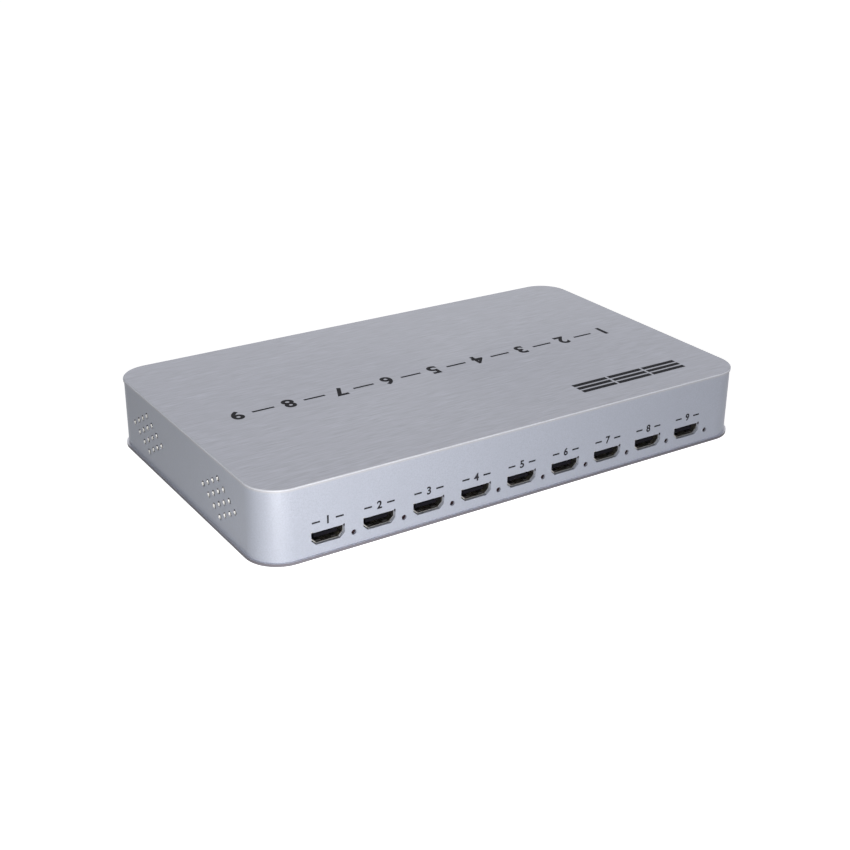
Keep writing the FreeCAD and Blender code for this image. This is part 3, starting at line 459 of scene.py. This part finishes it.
# Painted shade: the spring leaves share the shell's plating but are much darker, standing in for the shade
# inside the sockets.
SPRING = Finish(
    "spring_leaves_painted_shade", (0.08, 0.08, 0.085), 0.4, metallic=1.0, slot="socket_shell", tone=0.1
)
INSERT = Finish(
    "moulded_socket_insert", (0.004, 0.004, 0.007), 0.5, slot="socket_plastic", grain_size=0.2 * MM,
    specular=0.06,
)
CONTACT = Finish(
    "gold_contacts", (0.34, 0.27, 0.15), 0.3, metallic=1.0, slot="contact_metal", grain_size=0.1 * MM
)
HEADER = Finish("moulded_header", (0.03, 0.13, 0.05), 0.45, slot="header_plastic")
SWITCH = Finish("switch_moulding", (0.03, 0.03, 0.033), 0.5, slot="switch_plastic")
STEM = Finish("natural_stem", (0.68, 0.68, 0.64), 0.45, slot="stem_plastic")
BUTTON = Finish(
    "turned_power_cap", (0.52, 0.53, 0.58), 0.3, metallic=0.9, slot="button_metal", grain_size=0.15 * MM,
    tone=0.1,
)
KEY = Finish("satin_key_moulding", (0.025, 0.025, 0.027), 0.35, slot="key_plastic", grain_size=0.2 * MM)
WINDOW = Finish(
    "infrared_window", (0.022, 0.002, 0.004), 0.1, slot="window_acrylic", relief=0.002 * MM, specular=0.35,
    coat=0.3,
)
RECEIVER = Finish("receiver_filter_resin", (0.03, 0.02, 0.03), 0.25, slot="receiver_resin")
INK = Finish(
    "screen_printed_ink", (0.012, 0.012, 0.018), 0.6, grain_size=0.12 * MM, tone=0.25, relief=0.004 * MM,
    specular=0.2,
)
TOP_INK = Finish(
    "screen_printed_top_ink", (0.010, 0.010, 0.016), 0.6, grain=Grain.BRUSHED, grain_size=0.3 * MM, tone=0.3,
    relief=0.004 * MM, specular=0.1,
)
LEAD = Finish("tinned_leads", (0.68, 0.68, 0.67), 0.35, metallic=1.0, grain_size=0.1 * MM)
CERAMIC = Finish("passive_parts", (0.30, 0.22, 0.15), 0.5, grain_size=0.3 * MM, tone=0.2)


# Meshes

def placed(name: str, data: bpy.types.ID) -> bpy.types.Object:
    """Make an object and put it into the scene.

    Args:
        name: Name of the object.
        data: Its mesh, lamp or camera.

    Returns:
        The new object.
    """
    made = bpy.data.objects.new(name, data)
    bpy.context.scene.collection.objects.link(made)
    return made


def polar(radius: float, angle: float, height: float) -> Vector:
    """Return the point at a radius, an angle and a height."""
    return Vector((radius * math.cos(angle), radius * math.sin(angle), height))


def circle(radius: float, height: float, steps: int) -> list[Vector]:
    """Return evenly spaced points of a level circle."""
    return [polar(radius, math.tau * step / steps, height) for step in range(steps)]


def spaced(count: int, pitch: float) -> list[float]:
    """Return evenly spaced places about 0."""
    return [(index - (count - 1) / 2) * pitch for index in range(count)]


def quarters(place: Matrix) -> list[Matrix]:
    """Return a place turned about its Z axis by each quarter of a turn."""
    return [place @ Matrix.Rotation(quarter * math.pi / 2, 4, "Z") for quarter in range(4)]


def underside(low: Vector, high: Vector) -> Matrix:
    """Return the matrix to the middle of a box's underside."""
    return Matrix.Translation((*((low + high) / 2).xy, low.z))


class Shape:
    """Mesh of one piece while it is put together, in metres and in the frame of the model."""

    def __init__(self) -> None:
        """Start with an empty mesh."""
        self.mesh = bmesh.new()

    def points(self, spots: Iterable[Vector]) -> list[Point]:
        """Add a point at each spot and return the points."""
        return [self.mesh.verts.new(spot) for spot in spots]

    def block(self, low: Sequence[float], high: Sequence[float], bevel: float = 0.0) -> None:
        """Add a box with bevelled edges.

        Args:
            low: Lowest corner.
            high: Highest corner.
            bevel: Width of the bevel.
        """
        size = Vector(high) - Vector(low)
        place = Matrix.Translation((Vector(low) + Vector(high)) / 2) @ Matrix.Diagonal((*size, 1.0))
        made = bmesh.ops.create_cube(self.mesh, size=1.0, matrix=place)["verts"]
        if bevel:
            edges = {edge for vertex in made for edge in vertex.link_edges}
            bmesh.ops.bevel(
                self.mesh, geom=[*made, *edges], offset=bevel, offset_type="OFFSET", segments=2, profile=0.5,
                affect="EDGES",
            )

    def band(self, rings: Sequence[Sequence[Point]]) -> None:
        """Join each ring to the next one.

        Args:
            rings: Points of each ring, or a single point where the band closes.
        """
        for lower, upper in zip(rings, rings[1:]):
            steps = max(len(lower), len(upper))
            for here in range(steps):
                after = (here + 1) % steps
                corners = [lower[here % len(lower)], lower[after % len(lower)]]
                corners += [upper[after % len(upper)], upper[here % len(upper)]]
                self.mesh.faces.new(list(dict.fromkeys(corners)))

    def turned(self, profile: Sequence[Pair], place: Matrix, steps: int) -> None:
        """Add a profile turned about its own Z axis.

        Args:
            profile: Radius and height of each ring, from one end to the other.
            place: Matrix from the profile's axes to the model's.
            steps: Facets round the axis.
        """
        self.band([
            self.points(place @ spot for spot in circle(radius, height, steps if radius else 1))
            for radius, height in profile
        ])

    def tube(self, sections: Sequence[Sequence[Vector]]) -> None:
        """Add a tube with closed ends.

        Args:
            sections: Corners of each section, in order round the tube.
        """
        rings = [self.points(section) for section in sections]
        self.band(rings)
        for end in (rings[0], rings[-1]):
            self.mesh.faces.new(end)

    def thread(self, place: Matrix, radii: Pair, pitch: float, span: Pair, steps: int) -> None:
        """Add a helical thread as a ribbon of crests and roots.

        Args:
            place: Matrix from the thread's axes to the model's.
            radii: Root radius and crest radius.
            pitch: Rise of one turn.
            span: Lowest and highest level of the thread.
            steps: Facets in one turn.
        """
        root, crest = radii
        count = int((span[1] - span[0]) / pitch - 1.0) * steps
        rows: list[list[Point]] = [[], [], []]
        for step in range(count + 1):
            level = span[0] + pitch * step / steps
            for row, radius, rise in zip(rows, (root, crest, root), (0.0, 0.5 * pitch, pitch)):
                spot = place @ polar(radius, math.tau * step / steps, level + rise)
                row.append(self.mesh.verts.new(spot))
        for lower, upper in zip(rows, rows[1:]):
            for step in range(count):
                self.mesh.faces.new((lower[step], lower[step + 1], upper[step + 1], upper[step]))
        bmesh.ops.remove_doubles(self.mesh, verts=rows[0] + rows[2], dist=WELD)

    def piece(self, name: str, finish: Finish, replaces: Sequence[str] = (), smooth: float = 0.6) -> None:
        """Turn the mesh into a piece of the model that rides on the housing.

        Args:
            name: Name of the piece.
            finish: Its finish.
            replaces: Nodes that it stands for.
            smooth: Largest angle, in radians, that is shaded smooth.
        """
        bmesh.ops.recalc_face_normals(self.mesh, faces=self.mesh.faces)
        data = bpy.data.meshes.new(name)
        self.mesh.to_mesh(data)
        self.mesh.free()
        data.shade_smooth()
        data.set_sharp_from_angle(angle=smooth)
        piece = placed(name, data)
        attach(piece, HOUSING)
        if replaces:
            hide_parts(*replaces)
        finish.cover(piece)
        LOG.info("piece %s: %d faces", name, len(data.polygons))


def islands(node: bpy.types.Object) -> list[tuple[Vector, Vector]]:
    """Find the boxes of a node's separate solids.

    Args:
        node: Object of the node.

    Returns:
        Lowest and highest corner of each solid, sorted by place.
    """
    mesh = bmesh.new()
    mesh.from_mesh(node.data)
    bmesh.ops.remove_doubles(mesh, verts=mesh.verts, dist=WELD)
    left = set(mesh.verts)
    found = []
    while left:
        group = {left.pop()}
        edge = list(group)
        while edge:
            near = {link.other_vert(vertex) for vertex in edge for link in vertex.link_edges} - group
            group |= near
            edge = list(near)
        left -= group
        low = Vector(min(vertex.co[axis] for vertex in group) for axis in range(3))
        high = Vector(max(vertex.co[axis] for vertex in group) for axis in range(3))
        found.append((low, high))
    mesh.free()
    return sorted(found, key=lambda box: tuple(round(part, SORT_DIGITS) for part in box[0]))


# Sub-assemblies

@dataclass
class Assembly:
    """Sub-assembly of the model. Its finishes name the nodes that have them, parted by spaces."""

    nodes: dict[str, bpy.types.Object]
    finishes: ClassVar[dict[Finish, str]] = {}

    def dress(self) -> None:
        """Give every node its finish."""
        for finish, names in self.finishes.items():
            for name in names.split():
                finish.cover(self.nodes[name])
                LOG.info("node %s: %s", name, finish.name)


@dataclass
class Case(Assembly):
    """Wall, top, bottom plate, their screws and the feet."""

    foot_edge: float = 0.35 * MM
    foot_edge_share: float = 0.3
    foot_taper: float = 0.5 * MM
    foot_steps: int = 48
    hollow_radius: float = 2.6 * MM
    hollow_slope: float = 0.2 * MM
    hollow_depth: float = 0.5 * MM
    head_radius: float = 2.7 * MM
    head_rim: float = 0.12 * MM
    shank_radius: float = 1.5 * MM
    shank_share: float = 0.55
    screw_steps: int = 40
    thread_root: float = 1.22 * MM
    thread_pitch: float = 0.5 * MM
    thread_share: float = 0.56
    thread_steps: int = 20
    thread_runout: float = 0.5 * MM
    tip_length: float = 0.4 * MM
    tip_share: float = 0.5
    slot_reach: float = 1.5 * MM
    slot_width: float = 0.55 * MM
    slot_depth: float = 1.1 * MM
    slot_floor_share: float = 0.55
    screw_smooth: float = 0.5
    finishes = {WALL: "wall_frame", TOP: "top_panel", PLATE: "bottom_plate", BOSS: "lid_bosses"}

    def build(self) -> None:
        """Build the feet and the screws."""
        self.build_feet()
        self.build_screws()

    def build_feet(self) -> None:
        """Build the four moulded feet with a rounded rim and a hollow underside."""
        shape = Shape()
        for low, high in islands(self.nodes["rubber_feet"]):
            tall, wide = high.z - low.z, (high.x - low.x) / 2
            narrow, edge, hollow = wide - self.foot_taper, self.foot_edge, self.hollow_radius
            small = self.foot_edge_share * edge
            profile = (
                (0.0, self.hollow_depth), (hollow - self.hollow_slope, self.hollow_depth), (hollow, 0.0),
                (narrow - edge, 0.0), (narrow - small, small), (narrow, edge), (wide, tall), (0.0, tall),
            )
            shape.turned(profile, underside(low, high), self.foot_steps)
        shape.piece("moulded_feet", RUBBER, replaces=("rubber_feet",))

    def build_screws(self) -> None:
        """Build the six long countersunk screws with cross slots and threads."""
        shape = Shape()
        for low, high in islands(self.nodes["case_screws"]):
            self.add_screw(shape, underside(low, high), high.z - low.z)
        shape.piece("cross_slot_screws", SCREW, replaces=("case_screws",), smooth=self.screw_smooth)

    def add_screw(self, shape: Shape, place: Matrix, length: float) -> None:
        """Add one countersunk screw, head down, to the mesh.

        Args:
            shape: Mesh to add to.
            place: Matrix from the screw's axes to the model's.
            length: Length with its head.
        """
        head, rim, shank, root = self.head_radius, self.head_rim, self.shank_radius, self.thread_root
        start = self.thread_share * length
        profile = (
            (head - rim, 0.0), (head, rim), (shank, head - shank), (shank, self.shank_share * length),
            (root, start), (root, length - self.tip_length), (self.tip_share * root, length), (0.0, length),
        )
        shape.turned(profile, place, self.screw_steps)
        span = (start, length - self.thread_runout)
        shape.thread(place, (root, shank), self.thread_pitch, span, self.thread_steps)
        self.add_cross(shape, place)

    def add_cross(self, shape: Shape, place: Matrix) -> None:
        """Add the flat of a screw's head with its cross slot, at level 0 of the screw.

        Args:
            shape: Mesh to add to.
            place: Matrix from the screw's axes to the model's.
        """
        reach, half = self.slot_reach, self.slot_width / 2
        corners = [Vector((*corner, 0.0)) for corner in ((reach, -half), (reach, half), (half, half))]
        outline = [turn @ corner for turn in quarters(Matrix()) for corner in corners]
        rim = circle(self.head_radius - self.head_rim, 0.0, self.screw_steps)
        sunk = Vector((0.0, 0.0, self.slot_depth))
        ring = shape.points(place @ spot for spot in rim)
        mouth = shape.points(place @ spot for spot in outline)
        floor = shape.points(place @ (spot * self.slot_floor_share + sunk) for spot in outline)
        shape.band((mouth, floor))
        shape.mesh.faces.new(floor)
        loops = [shape.mesh.edges.new(pair) for pair in zip(ring, ring[1:] + ring[:1])]
        loops += [shape.mesh.edges.get(pair) for pair in zip(mouth, mouth[1:] + mouth[:1])]
        bmesh.ops.triangle_fill(shape.mesh, edges=loops, use_beauty=True, use_dissolve=False)


@dataclass
class VideoSocket:
    """Contacts and springs of one video socket, drawn about its mouth with +Y inward."""

    label: str
    shell: str
    insert: str
    faces_back: bool = False
    contact_rows: tuple[tuple[int, int], ...] = ((10, -1), (9, 1))
    contact_pitch: float = 1.0 * MM
    contact_width: float = 0.42 * MM
    contact_front: float = 2.6 * MM
    contact_length: float = 5.4 * MM
    contact_rise: float = 0.10 * MM
    contact_sink: float = 0.02 * MM
    contact_bevel: float = 0.03 * MM
    tongue_half: float = 0.75 * MM
    spring_places: Pair = (-3.6 * MM, 3.6 * MM)
    spring_width: float = 1.9 * MM
    spring_front: float = 1.4 * MM
    spring_length: float = 5.2 * MM
    spring_dip: float = 0.22 * MM
    spring_bow: float = 1.25
    spring_clearance: float = 0.03 * MM
    spring_steps: int = 10
    sheet: float = 0.14 * MM

    def place(self) -> Matrix:
        """Find the socket's mouth.

        Returns:
            The matrix from the socket's axes to the model's.
        """
        low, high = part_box(self.insert)
        shell_low, shell_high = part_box(self.shell)
        mouth = shell_high.y if self.faces_back else shell_low.y
        spot = Matrix.Translation(((low.x + high.x) / 2, mouth, (low.z + high.z) / 2))
        return spot @ Matrix.Rotation(math.pi if self.faces_back else 0.0, 4, "Z")

    def build(self) -> None:
        """Build the gold contacts and the shell's springs."""
        place = self.place()
        contacts = Shape()
        front, half = self.contact_front, self.contact_width / 2
        for count, side in self.contact_rows:
            near = side * (self.tongue_half - self.contact_sink)
            far = side * (self.tongue_half + self.contact_rise)
            for across in spaced(count, self.contact_pitch):
                low = (across - half, front, min(near, far))
                high = (across + half, front + self.contact_length, max(near, far))
                contacts.block(low, high, self.contact_bevel)
        contacts.mesh.transform(place)
        contacts.piece("contacts_%s" % self.label, CONTACT)
        springs = Shape()
        low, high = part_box(self.insert)
        level = (high.z - low.z) / 2 + self.spring_clearance
        for side in (-1, 1):
            for across in self.spring_places:
                self.add_spring(springs, across, side, level)
        springs.mesh.transform(place)
        springs.piece("springs_%s" % self.label, SPRING)

    def add_spring(self, shape: Shape, across: float, side: int, level: float) -> None:
        """Add one leaf that bows into the opening.

        Args:
            shape: Mesh to add to.
            across: Place along the opening.
            side: 1 for the upper wall, -1 for the lower one.
            level: Distance of the wall's inner face from the socket's middle.
        """
        half = self.spring_width / 2
        sections = []
        for step in range(self.spring_steps + 1):
            share = step / self.spring_steps
            dip = self.spring_dip * math.sin(math.pi * min(1.0, self.spring_bow * share))
            along = self.spring_front + self.spring_length * share
            outer = side * (level - dip)
            inner = outer - side * self.sheet
            ends = ((-half, outer), (-half, inner), (half, inner), (half, outer))
            sections.append([Vector((across + end, along, up)) for end, up in ends])
        shape.tube(sections)


@dataclass
class OutputRow(Assembly):
    """Nine output sockets and their lights in the front wall."""

    finishes = {
        SHELL: " ".join("hdmi_out_shell_%d" % index for index in OUTPUTS),
        INSERT: " ".join("hdmi_out_insert_%d" % index for index in OUTPUTS),
        LIGHT: "output_lights",
    }

    def build(self) -> None:
        """Build the contacts and springs of every socket."""
        for index in OUTPUTS:
            VideoSocket("out_%d" % index, "hdmi_out_shell_%d" % index, "hdmi_out_insert_%d" % index).build()


@dataclass
class BackSide(Assembly):
    """Input, power and control pieces in the back wall."""

    usb_contacts: tuple[float, ...] = (-3.5 * MM, -1.25 * MM, 1.25 * MM, 3.5 * MM)
    usb_contact_width: float = 1.1 * MM
    usb_contact_length: float = 7.2 * MM
    usb_contact_depth: float = 0.12 * MM
    usb_contact_sink: float = 0.02 * MM
    usb_contact_bevel: float = 0.04 * MM
    usb_setback: float = 0.6 * MM
    usb_tongue_drop: float = 2.55 * MM
    finishes = {
        SHELL: "hdmi_in_shell usb_shell",
        INSERT: "hdmi_in_insert usb_insert dc_jack",
        CONTACT: "dc_jack_pin serial_pins",
        HEADER: "serial_header",
        SWITCH: "power_switch key_switches",
        STEM: "power_stem",
        BUTTON: "power_button",
        KEY: "key_1 key_2 key_3",
        WINDOW: "ir_window",
        RECEIVER: "ir_receiver",
        LIGHT: "status_light",
    }

    def build(self) -> None:
        """Build the input's contacts and springs and the contacts of the service port."""
        VideoSocket("in", "hdmi_in_shell", "hdmi_in_insert", faces_back=True).build()
        low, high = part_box("usb_insert")
        middle, front = (low.x + high.x) / 2, high.y - self.usb_setback
        tongue = high.z - self.usb_tongue_drop
        contacts = Shape()
        for across in self.usb_contacts:
            left = middle + across - self.usb_contact_width / 2
            contacts.block(
                (left, front - self.usb_contact_length, tongue - self.usb_contact_depth),
                (left + self.usb_contact_width, front, tongue + self.usb_contact_sink),
                self.usb_contact_bevel,
            )
        contacts.piece("contacts_usb", CONTACT)


@dataclass
class Board(Assembly):
    """Circuit board with what stands on it."""

    lead_pitch: float = 0.8 * MM
    lead_reach: float = 1.0 * MM
    lead_width: float = 0.3 * MM
    lead_thickness: float = 0.12 * MM
    lead_bends: tuple[Pair, ...] = ((0.0, 0.62 * MM), (0.3, 0.62 * MM), (0.5, 0.14 * MM), (1.0, 0.14 * MM))
    passive: Triple = (1.6 * MM, 0.8 * MM, 0.5 * MM)
    passive_bevel: float = 0.06 * MM
    passive_count: int = 6
    passive_gap: float = 2.2 * MM
    passive_scatter: float = 1.1 * MM
    seed: int = 11
    finishes = {
        LAMINATE: "main_board",
        BRASS: "board_standoffs",
        SCREW: "board_screws",
        CHIP: "video_processor output_driver_chips memory_chips input_receiver_chip control_chip",
        PAD: "thermal_pad",
        SINK: "heat_sink",
        PIN_NYLON: "heat_sink_pins",
        CRYSTAL: "crystal",
        FERRITE: "power_inductors",
        CAN: "can_capacitors",
    }

    def build(self) -> None:
        """Build the leads of the packages and the small passive parts."""
        leads = Shape()
        for node in ("output_driver_chips", "input_receiver_chip", "control_chip"):
            for low, high in islands(self.nodes[node]):
                self.add_leads(leads, low, high)
        leads.piece("package_leads", LEAD)
        draw = random.Random(self.seed)
        passives = Shape()
        for low, high in islands(self.nodes["output_driver_chips"]):
            for step in range(self.passive_count):
                across = low.x + (step + 0.5) * (high.x - low.x) / self.passive_count
                along = high.y + self.passive_gap + self.passive_scatter * draw.random()
                self.add_passive(passives, (across, along, low.z), step % 2 == 0)
        passives.piece("passive_parts", CERAMIC)

    def add_leads(self, shape: Shape, low: Vector, high: Vector) -> None:
        """Add the gull-wing leads of one package.

        Args:
            shape: Mesh to add to.
            low: Lowest corner of the package.
            high: Highest corner of the package.
        """
        wide = high.x - low.x
        for turn in quarters(underside(low, high)):
            for across in spaced(int(wide / self.lead_pitch) - 1, self.lead_pitch):
                self.add_lead(shape, turn, across, wide / 2)

    def add_lead(self, shape: Shape, turn: Matrix, across: float, start: float) -> None:
        """Add one bent lead.

        Args:
            shape: Mesh to add to.
            turn: Matrix from the package side's axes to the model's.
            across: Place along the side.
            start: Distance of the side from the package's middle.
        """
        half, thick = self.lead_width / 2, self.lead_thickness
        corners = ((-half, 0.0), (half, 0.0), (half, -thick), (-half, -thick))
        shape.tube([
            [turn @ Vector((start + share * self.lead_reach, across + end, rise + up)) for end, up in corners]
            for share, rise in self.lead_bends
        ])

    def add_passive(self, shape: Shape, spot: Triple, lengthwise: bool) -> None:
        """Add one small block part that stands on the board.

        Args:
            shape: Mesh to add to.
            spot: Middle of its underside.
            lengthwise: Whether its long side runs along Y.
        """
        length, width, height = self.passive
        half = (width / 2, length / 2) if lengthwise else (length / 2, width / 2)
        low = (spot[0] - half[0], spot[1] - half[1], spot[2])
        high = (spot[0] + half[0], spot[1] + half[1], spot[2] + height)
        shape.block(low, high, self.passive_bevel)


@dataclass
class Markings:
    """Plain numerals over the sockets and along the top, in thin ink."""

    ink: float = 0.015 * MM
    stroke: float = 0.035
    curve_steps: int = 6
    weld: float = 0.0005 * MM
    smooth: float = 0.3
    small_height: float = 3.6 * MM
    small_level: float = 17.25 * MM
    dash: Pair = (3.6 * MM, 0.75 * MM)
    dash_place: float = 5.3 * MM
    top_height: float = 8.8 * MM
    top_dash: Pair = (10.5 * MM, 1.3 * MM)
    top_span: Pair = (-99.0 * MM, 100.5 * MM)
    top_line: float = -0.9 * MM
    tile_box: tuple[float, float, float, float] = (43.0 * MM, 103.0 * MM, -58.8 * MM, -49.2 * MM)
    tile_gap: float = 1.1 * MM
    tile_count: int = 3

    def add_numeral(self, shape: Shape, text: str, height: float, place: Matrix) -> None:
        """Add one thin numeral to a mesh.

        Args:
            shape: Mesh to add to.
            text: Digits to set.
            height: Height of the digits.
            place: Matrix from the numeral's plane, about its middle, to the model's.
        """
        curve = bpy.data.curves.new("numeral_outline", "FONT")
        curve.body, curve.offset, curve.resolution_u = text, self.stroke, self.curve_steps
        holder = bpy.data.objects.new("numeral_holder", curve)
        data = bpy.data.meshes.new_from_object(holder)
        bpy.data.objects.remove(holder)
        bpy.data.curves.remove(curve)
        xs = [vertex.co.x for vertex in data.vertices]
        ys = [vertex.co.y for vertex in data.vertices]
        middle = Vector(((max(xs) + min(xs)) / 2, (max(ys) + min(ys)) / 2, 0.0))
        data.transform(Matrix.Scale(height / (max(ys) - min(ys)), 4) @ Matrix.Translation(-middle))
        mesh = bmesh.new()
        mesh.from_mesh(data)
        bmesh.ops.remove_doubles(mesh, verts=mesh.verts, dist=self.weld)
        grown = bmesh.ops.extrude_face_region(mesh, geom=mesh.faces[:])
        moved = [item for item in grown["geom"] if isinstance(item, Point)]
        bmesh.ops.translate(mesh, verts=moved, vec=(0.0, 0.0, self.ink))
        mesh.transform(place)
        mesh.to_mesh(data)
        mesh.free()
        shape.mesh.from_mesh(data)
        bpy.data.meshes.remove(data)

    def build_output_numerals(self) -> None:
        """Print a numeral between two dashes over each output socket."""
        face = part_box("wall_frame")[0].y
        level, half, tall = self.small_level, self.dash[0] / 2, self.dash[1] / 2
        for index in OUTPUTS:
            low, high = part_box("hdmi_out_insert_%d" % index)
            middle = (low.x + high.x) / 2
            place = Matrix.Translation((middle, face, level)) @ Matrix.Rotation(math.pi / 2, 4, "X")
            shape = Shape()
            self.add_numeral(shape, str(index), self.small_height, place)
            for across in (middle - self.dash_place, middle + self.dash_place):
                left = (across - half, face - self.ink, level - tall)
                shape.block(left, (across + half, face, level + tall))
            shape.piece("numeral_%d" % index, INK, smooth=self.smooth)

    def build_top_numerals(self) -> None:
        """Print the numerals 1 to 9 along the top, to be read from the back side."""
        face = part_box("top_panel")[1].z
        start, end = self.top_span
        step = (end - start) / (len(OUTPUTS) - 1)
        line, half, deep = self.top_line, self.top_dash[0] / 2, self.top_dash[1] / 2
        shape = Shape()
        for index in OUTPUTS:
            across = end - step * (index - 1)
            place = Matrix.Translation((across, line, face)) @ Matrix.Rotation(math.pi, 4, "Z")
            self.add_numeral(shape, str(index), self.top_height, place)
            if index > 1:
                middle = across + 0.5 * step
                left = (middle - half, line - deep, face)
                shape.block(left, (middle + half, line + deep, face + self.ink))
        shape.piece("top_numerals", TOP_INK, smooth=self.smooth)

    def build_tiles(self) -> None:
        """Print a block of three by three tiles near the front edge of the top."""
        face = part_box("top_panel")[1].z
        left, right, near, far = self.tile_box
        count, gap = self.tile_count, self.tile_gap
        wide, deep = ((size - (count - 1) * gap) / count for size in (right - left, far - near))
        shape = Shape()
        for column in range(count):
            for row in range(count):
                low_x, low_y = left + column * (wide + gap), near + row * (deep + gap)
                shape.block((low_x, low_y, face), (low_x + wide, low_y + deep, face + self.ink))
        shape.piece("tile_block", TOP_INK, smooth=self.smooth)

    def build(self) -> None:
        """Print every marking."""
        self.build_output_numerals()
        self.build_top_numerals()
        self.build_tiles()


# Studio

@dataclass
class Lamp:
    """One soft lamp: where it stands, what it looks at, its size and its power."""

    name: str
    spot: Triple
    target: Triple
    size: Pair
    power: float
    colour: Triple = (1.0, 0.955, 0.875)

    def build(self) -> None:
        """Hang the lamp."""
        data = bpy.data.lights.new(self.name, "AREA")
        data.shape = "RECTANGLE"
        data.size, data.size_y = self.size
        data.energy = self.power
        data.color = self.colour
        lamp = placed(self.name, data)
        lamp.location = self.spot
        lamp.rotation_mode = "QUATERNION"
        lamp.rotation_quaternion = (Vector(self.target) - Vector(self.spot)).to_track_quat("-Z", "Y")
        lamp.visible_camera = False


@dataclass
class Studio:
    """Floor, surroundings, lamps and camera."""

    floor_half: float = 4.0
    floor_cells: int = 9
    floor_glow: float = 0.98
    floor_roughness: float = 0.9
    floor_colour: Triple = (0.5, 0.5, 0.5)
    surround: float = 0.03
    surround_seen: Triple = (1.0, 1.0, 1.0)
    camera_spot: Triple = (-0.32181, -0.49107, 0.26848)
    camera_right: Triple = (0.840712, -0.541427, 0.007735)
    camera_down: Triple = (-0.214479, -0.346085, -0.913358)
    camera_forward: Triple = (0.497194, 0.766212, -0.407083)
    lens: float = 58.02
    sensor_width: float = 36.0
    clip: Pair = (0.01, 20.0)
    lamps: tuple[Lamp, ...] = (
        Lamp("key_lamp", (-0.15, -0.40, 0.035), (-0.09, -0.07, 0.02), (0.14, 0.05), 0.44),
        Lamp(
            "corner_lamp", (-0.265, -0.322, 0.012), (-0.12, -0.07, 0.02), (0.02, 0.02), 0.66,
            (1.0, 0.945, 0.85),
        ),
        Lamp(
            "rake_lamp", (-0.24, -0.35, 0.06), (-0.12, -0.03, 0.018), (0.03, 0.03), 0.34,
            (1.0, 0.955, 0.90),
        ),
        Lamp("fill_lamp", (0.30, -0.90, 0.10), (0.05, -0.07, 0.02), (0.3, 0.1), 1.88, (1.0, 0.94, 0.90)),
        Lamp("back_lamp", (0.20, 0.62, 0.03), (0.0, 0.07, 0.02), (0.3, 0.05), 0.9, (1.0, 0.94, 0.90)),
    )

    def build(self) -> None:
        """Set the whole studio."""
        self.build_floor()
        self.build_surround()
        for lamp in self.lamps:
            lamp.build()
        self.build_camera()
        bpy.context.scene.view_settings.view_transform = "Standard"

    def build_floor(self) -> None:
        """Lay a pale floor that shows white, keeps the shadow and is open from below."""
        mesh = bmesh.new()
        bmesh.ops.create_grid(
            mesh, x_segments=self.floor_cells, y_segments=self.floor_cells, size=self.floor_half
        )
        data = bpy.data.meshes.new("floor")
        mesh.to_mesh(data)
        mesh.free()
        graph = Graph(bpy.data.materials.new("pale_floor"))
        feeds = {"Base Color": self.floor_colour, "Roughness": self.floor_roughness}
        plain = graph.add("ShaderNodeBsdfPrincipled", feeds).outputs["BSDF"]
        glow = graph.add("ShaderNodeEmission", {"Strength": self.floor_glow}).outputs["Emission"]
        lit = graph.add("ShaderNodeAddShader", {0: plain, 1: glow}).outputs["Shader"]
        above = graph.add("ShaderNodeMixShader", {0: graph.seen(), 1: plain, 2: lit}).outputs["Shader"]
        clear = graph.add("ShaderNodeBsdfTransparent").outputs["BSDF"]
        behind = graph.add("ShaderNodeNewGeometry").outputs["Backfacing"]
        below = graph.add("ShaderNodeMixShader", {0: behind, 1: above, 2: clear}).outputs["Shader"]
        graph.add("ShaderNodeOutputMaterial", {"Surface": below})
        data.materials.append(graph.owner)
        placed("floor", data)

    def build_surround(self) -> None:
        """Surround the model with white that lights it at a plain level."""
        world = bpy.data.worlds.new("studio_surround")
        bpy.context.scene.world = world
        graph = Graph(world)
        light = graph.add("ShaderNodeBackground", {"Strength": self.surround}).outputs["Background"]
        white = graph.add("ShaderNodeBackground", {"Color": self.surround_seen}).outputs["Background"]
        mixed = graph.add("ShaderNodeMixShader", {0: graph.seen(), 1: light, 2: white}).outputs["Shader"]
        graph.add("ShaderNodeOutputWorld", {"Surface": mixed})

    def build_camera(self) -> None:
        """Set the camera at the photograph's place and angle."""
        data = bpy.data.cameras.new("camera")
        data.lens, data.sensor_width = self.lens, self.sensor_width
        data.clip_start, data.clip_end = self.clip
        camera = placed("camera", data)
        columns = Matrix((self.camera_right, self.camera_down, self.camera_forward)).transposed()
        turn = columns @ Matrix.Diagonal((1.0, -1.0, -1.0))
        camera.matrix_world = Matrix.Translation(self.camera_spot) @ turn.to_4x4()
        bpy.context.scene.camera = camera


def main() -> None:
    """Load the model, dress it, add its small pieces and set the studio."""
    logging.basicConfig(level=logging.INFO, format="%(message)s")
    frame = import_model()
    nodes = frame["nodes"]
    for assembly in (Case(nodes), OutputRow(nodes), BackSide(nodes), Board(nodes)):
        assembly.dress()
        assembly.build()
    Markings().build()
    Studio().build()


if __name__ == "__main__":
    main()
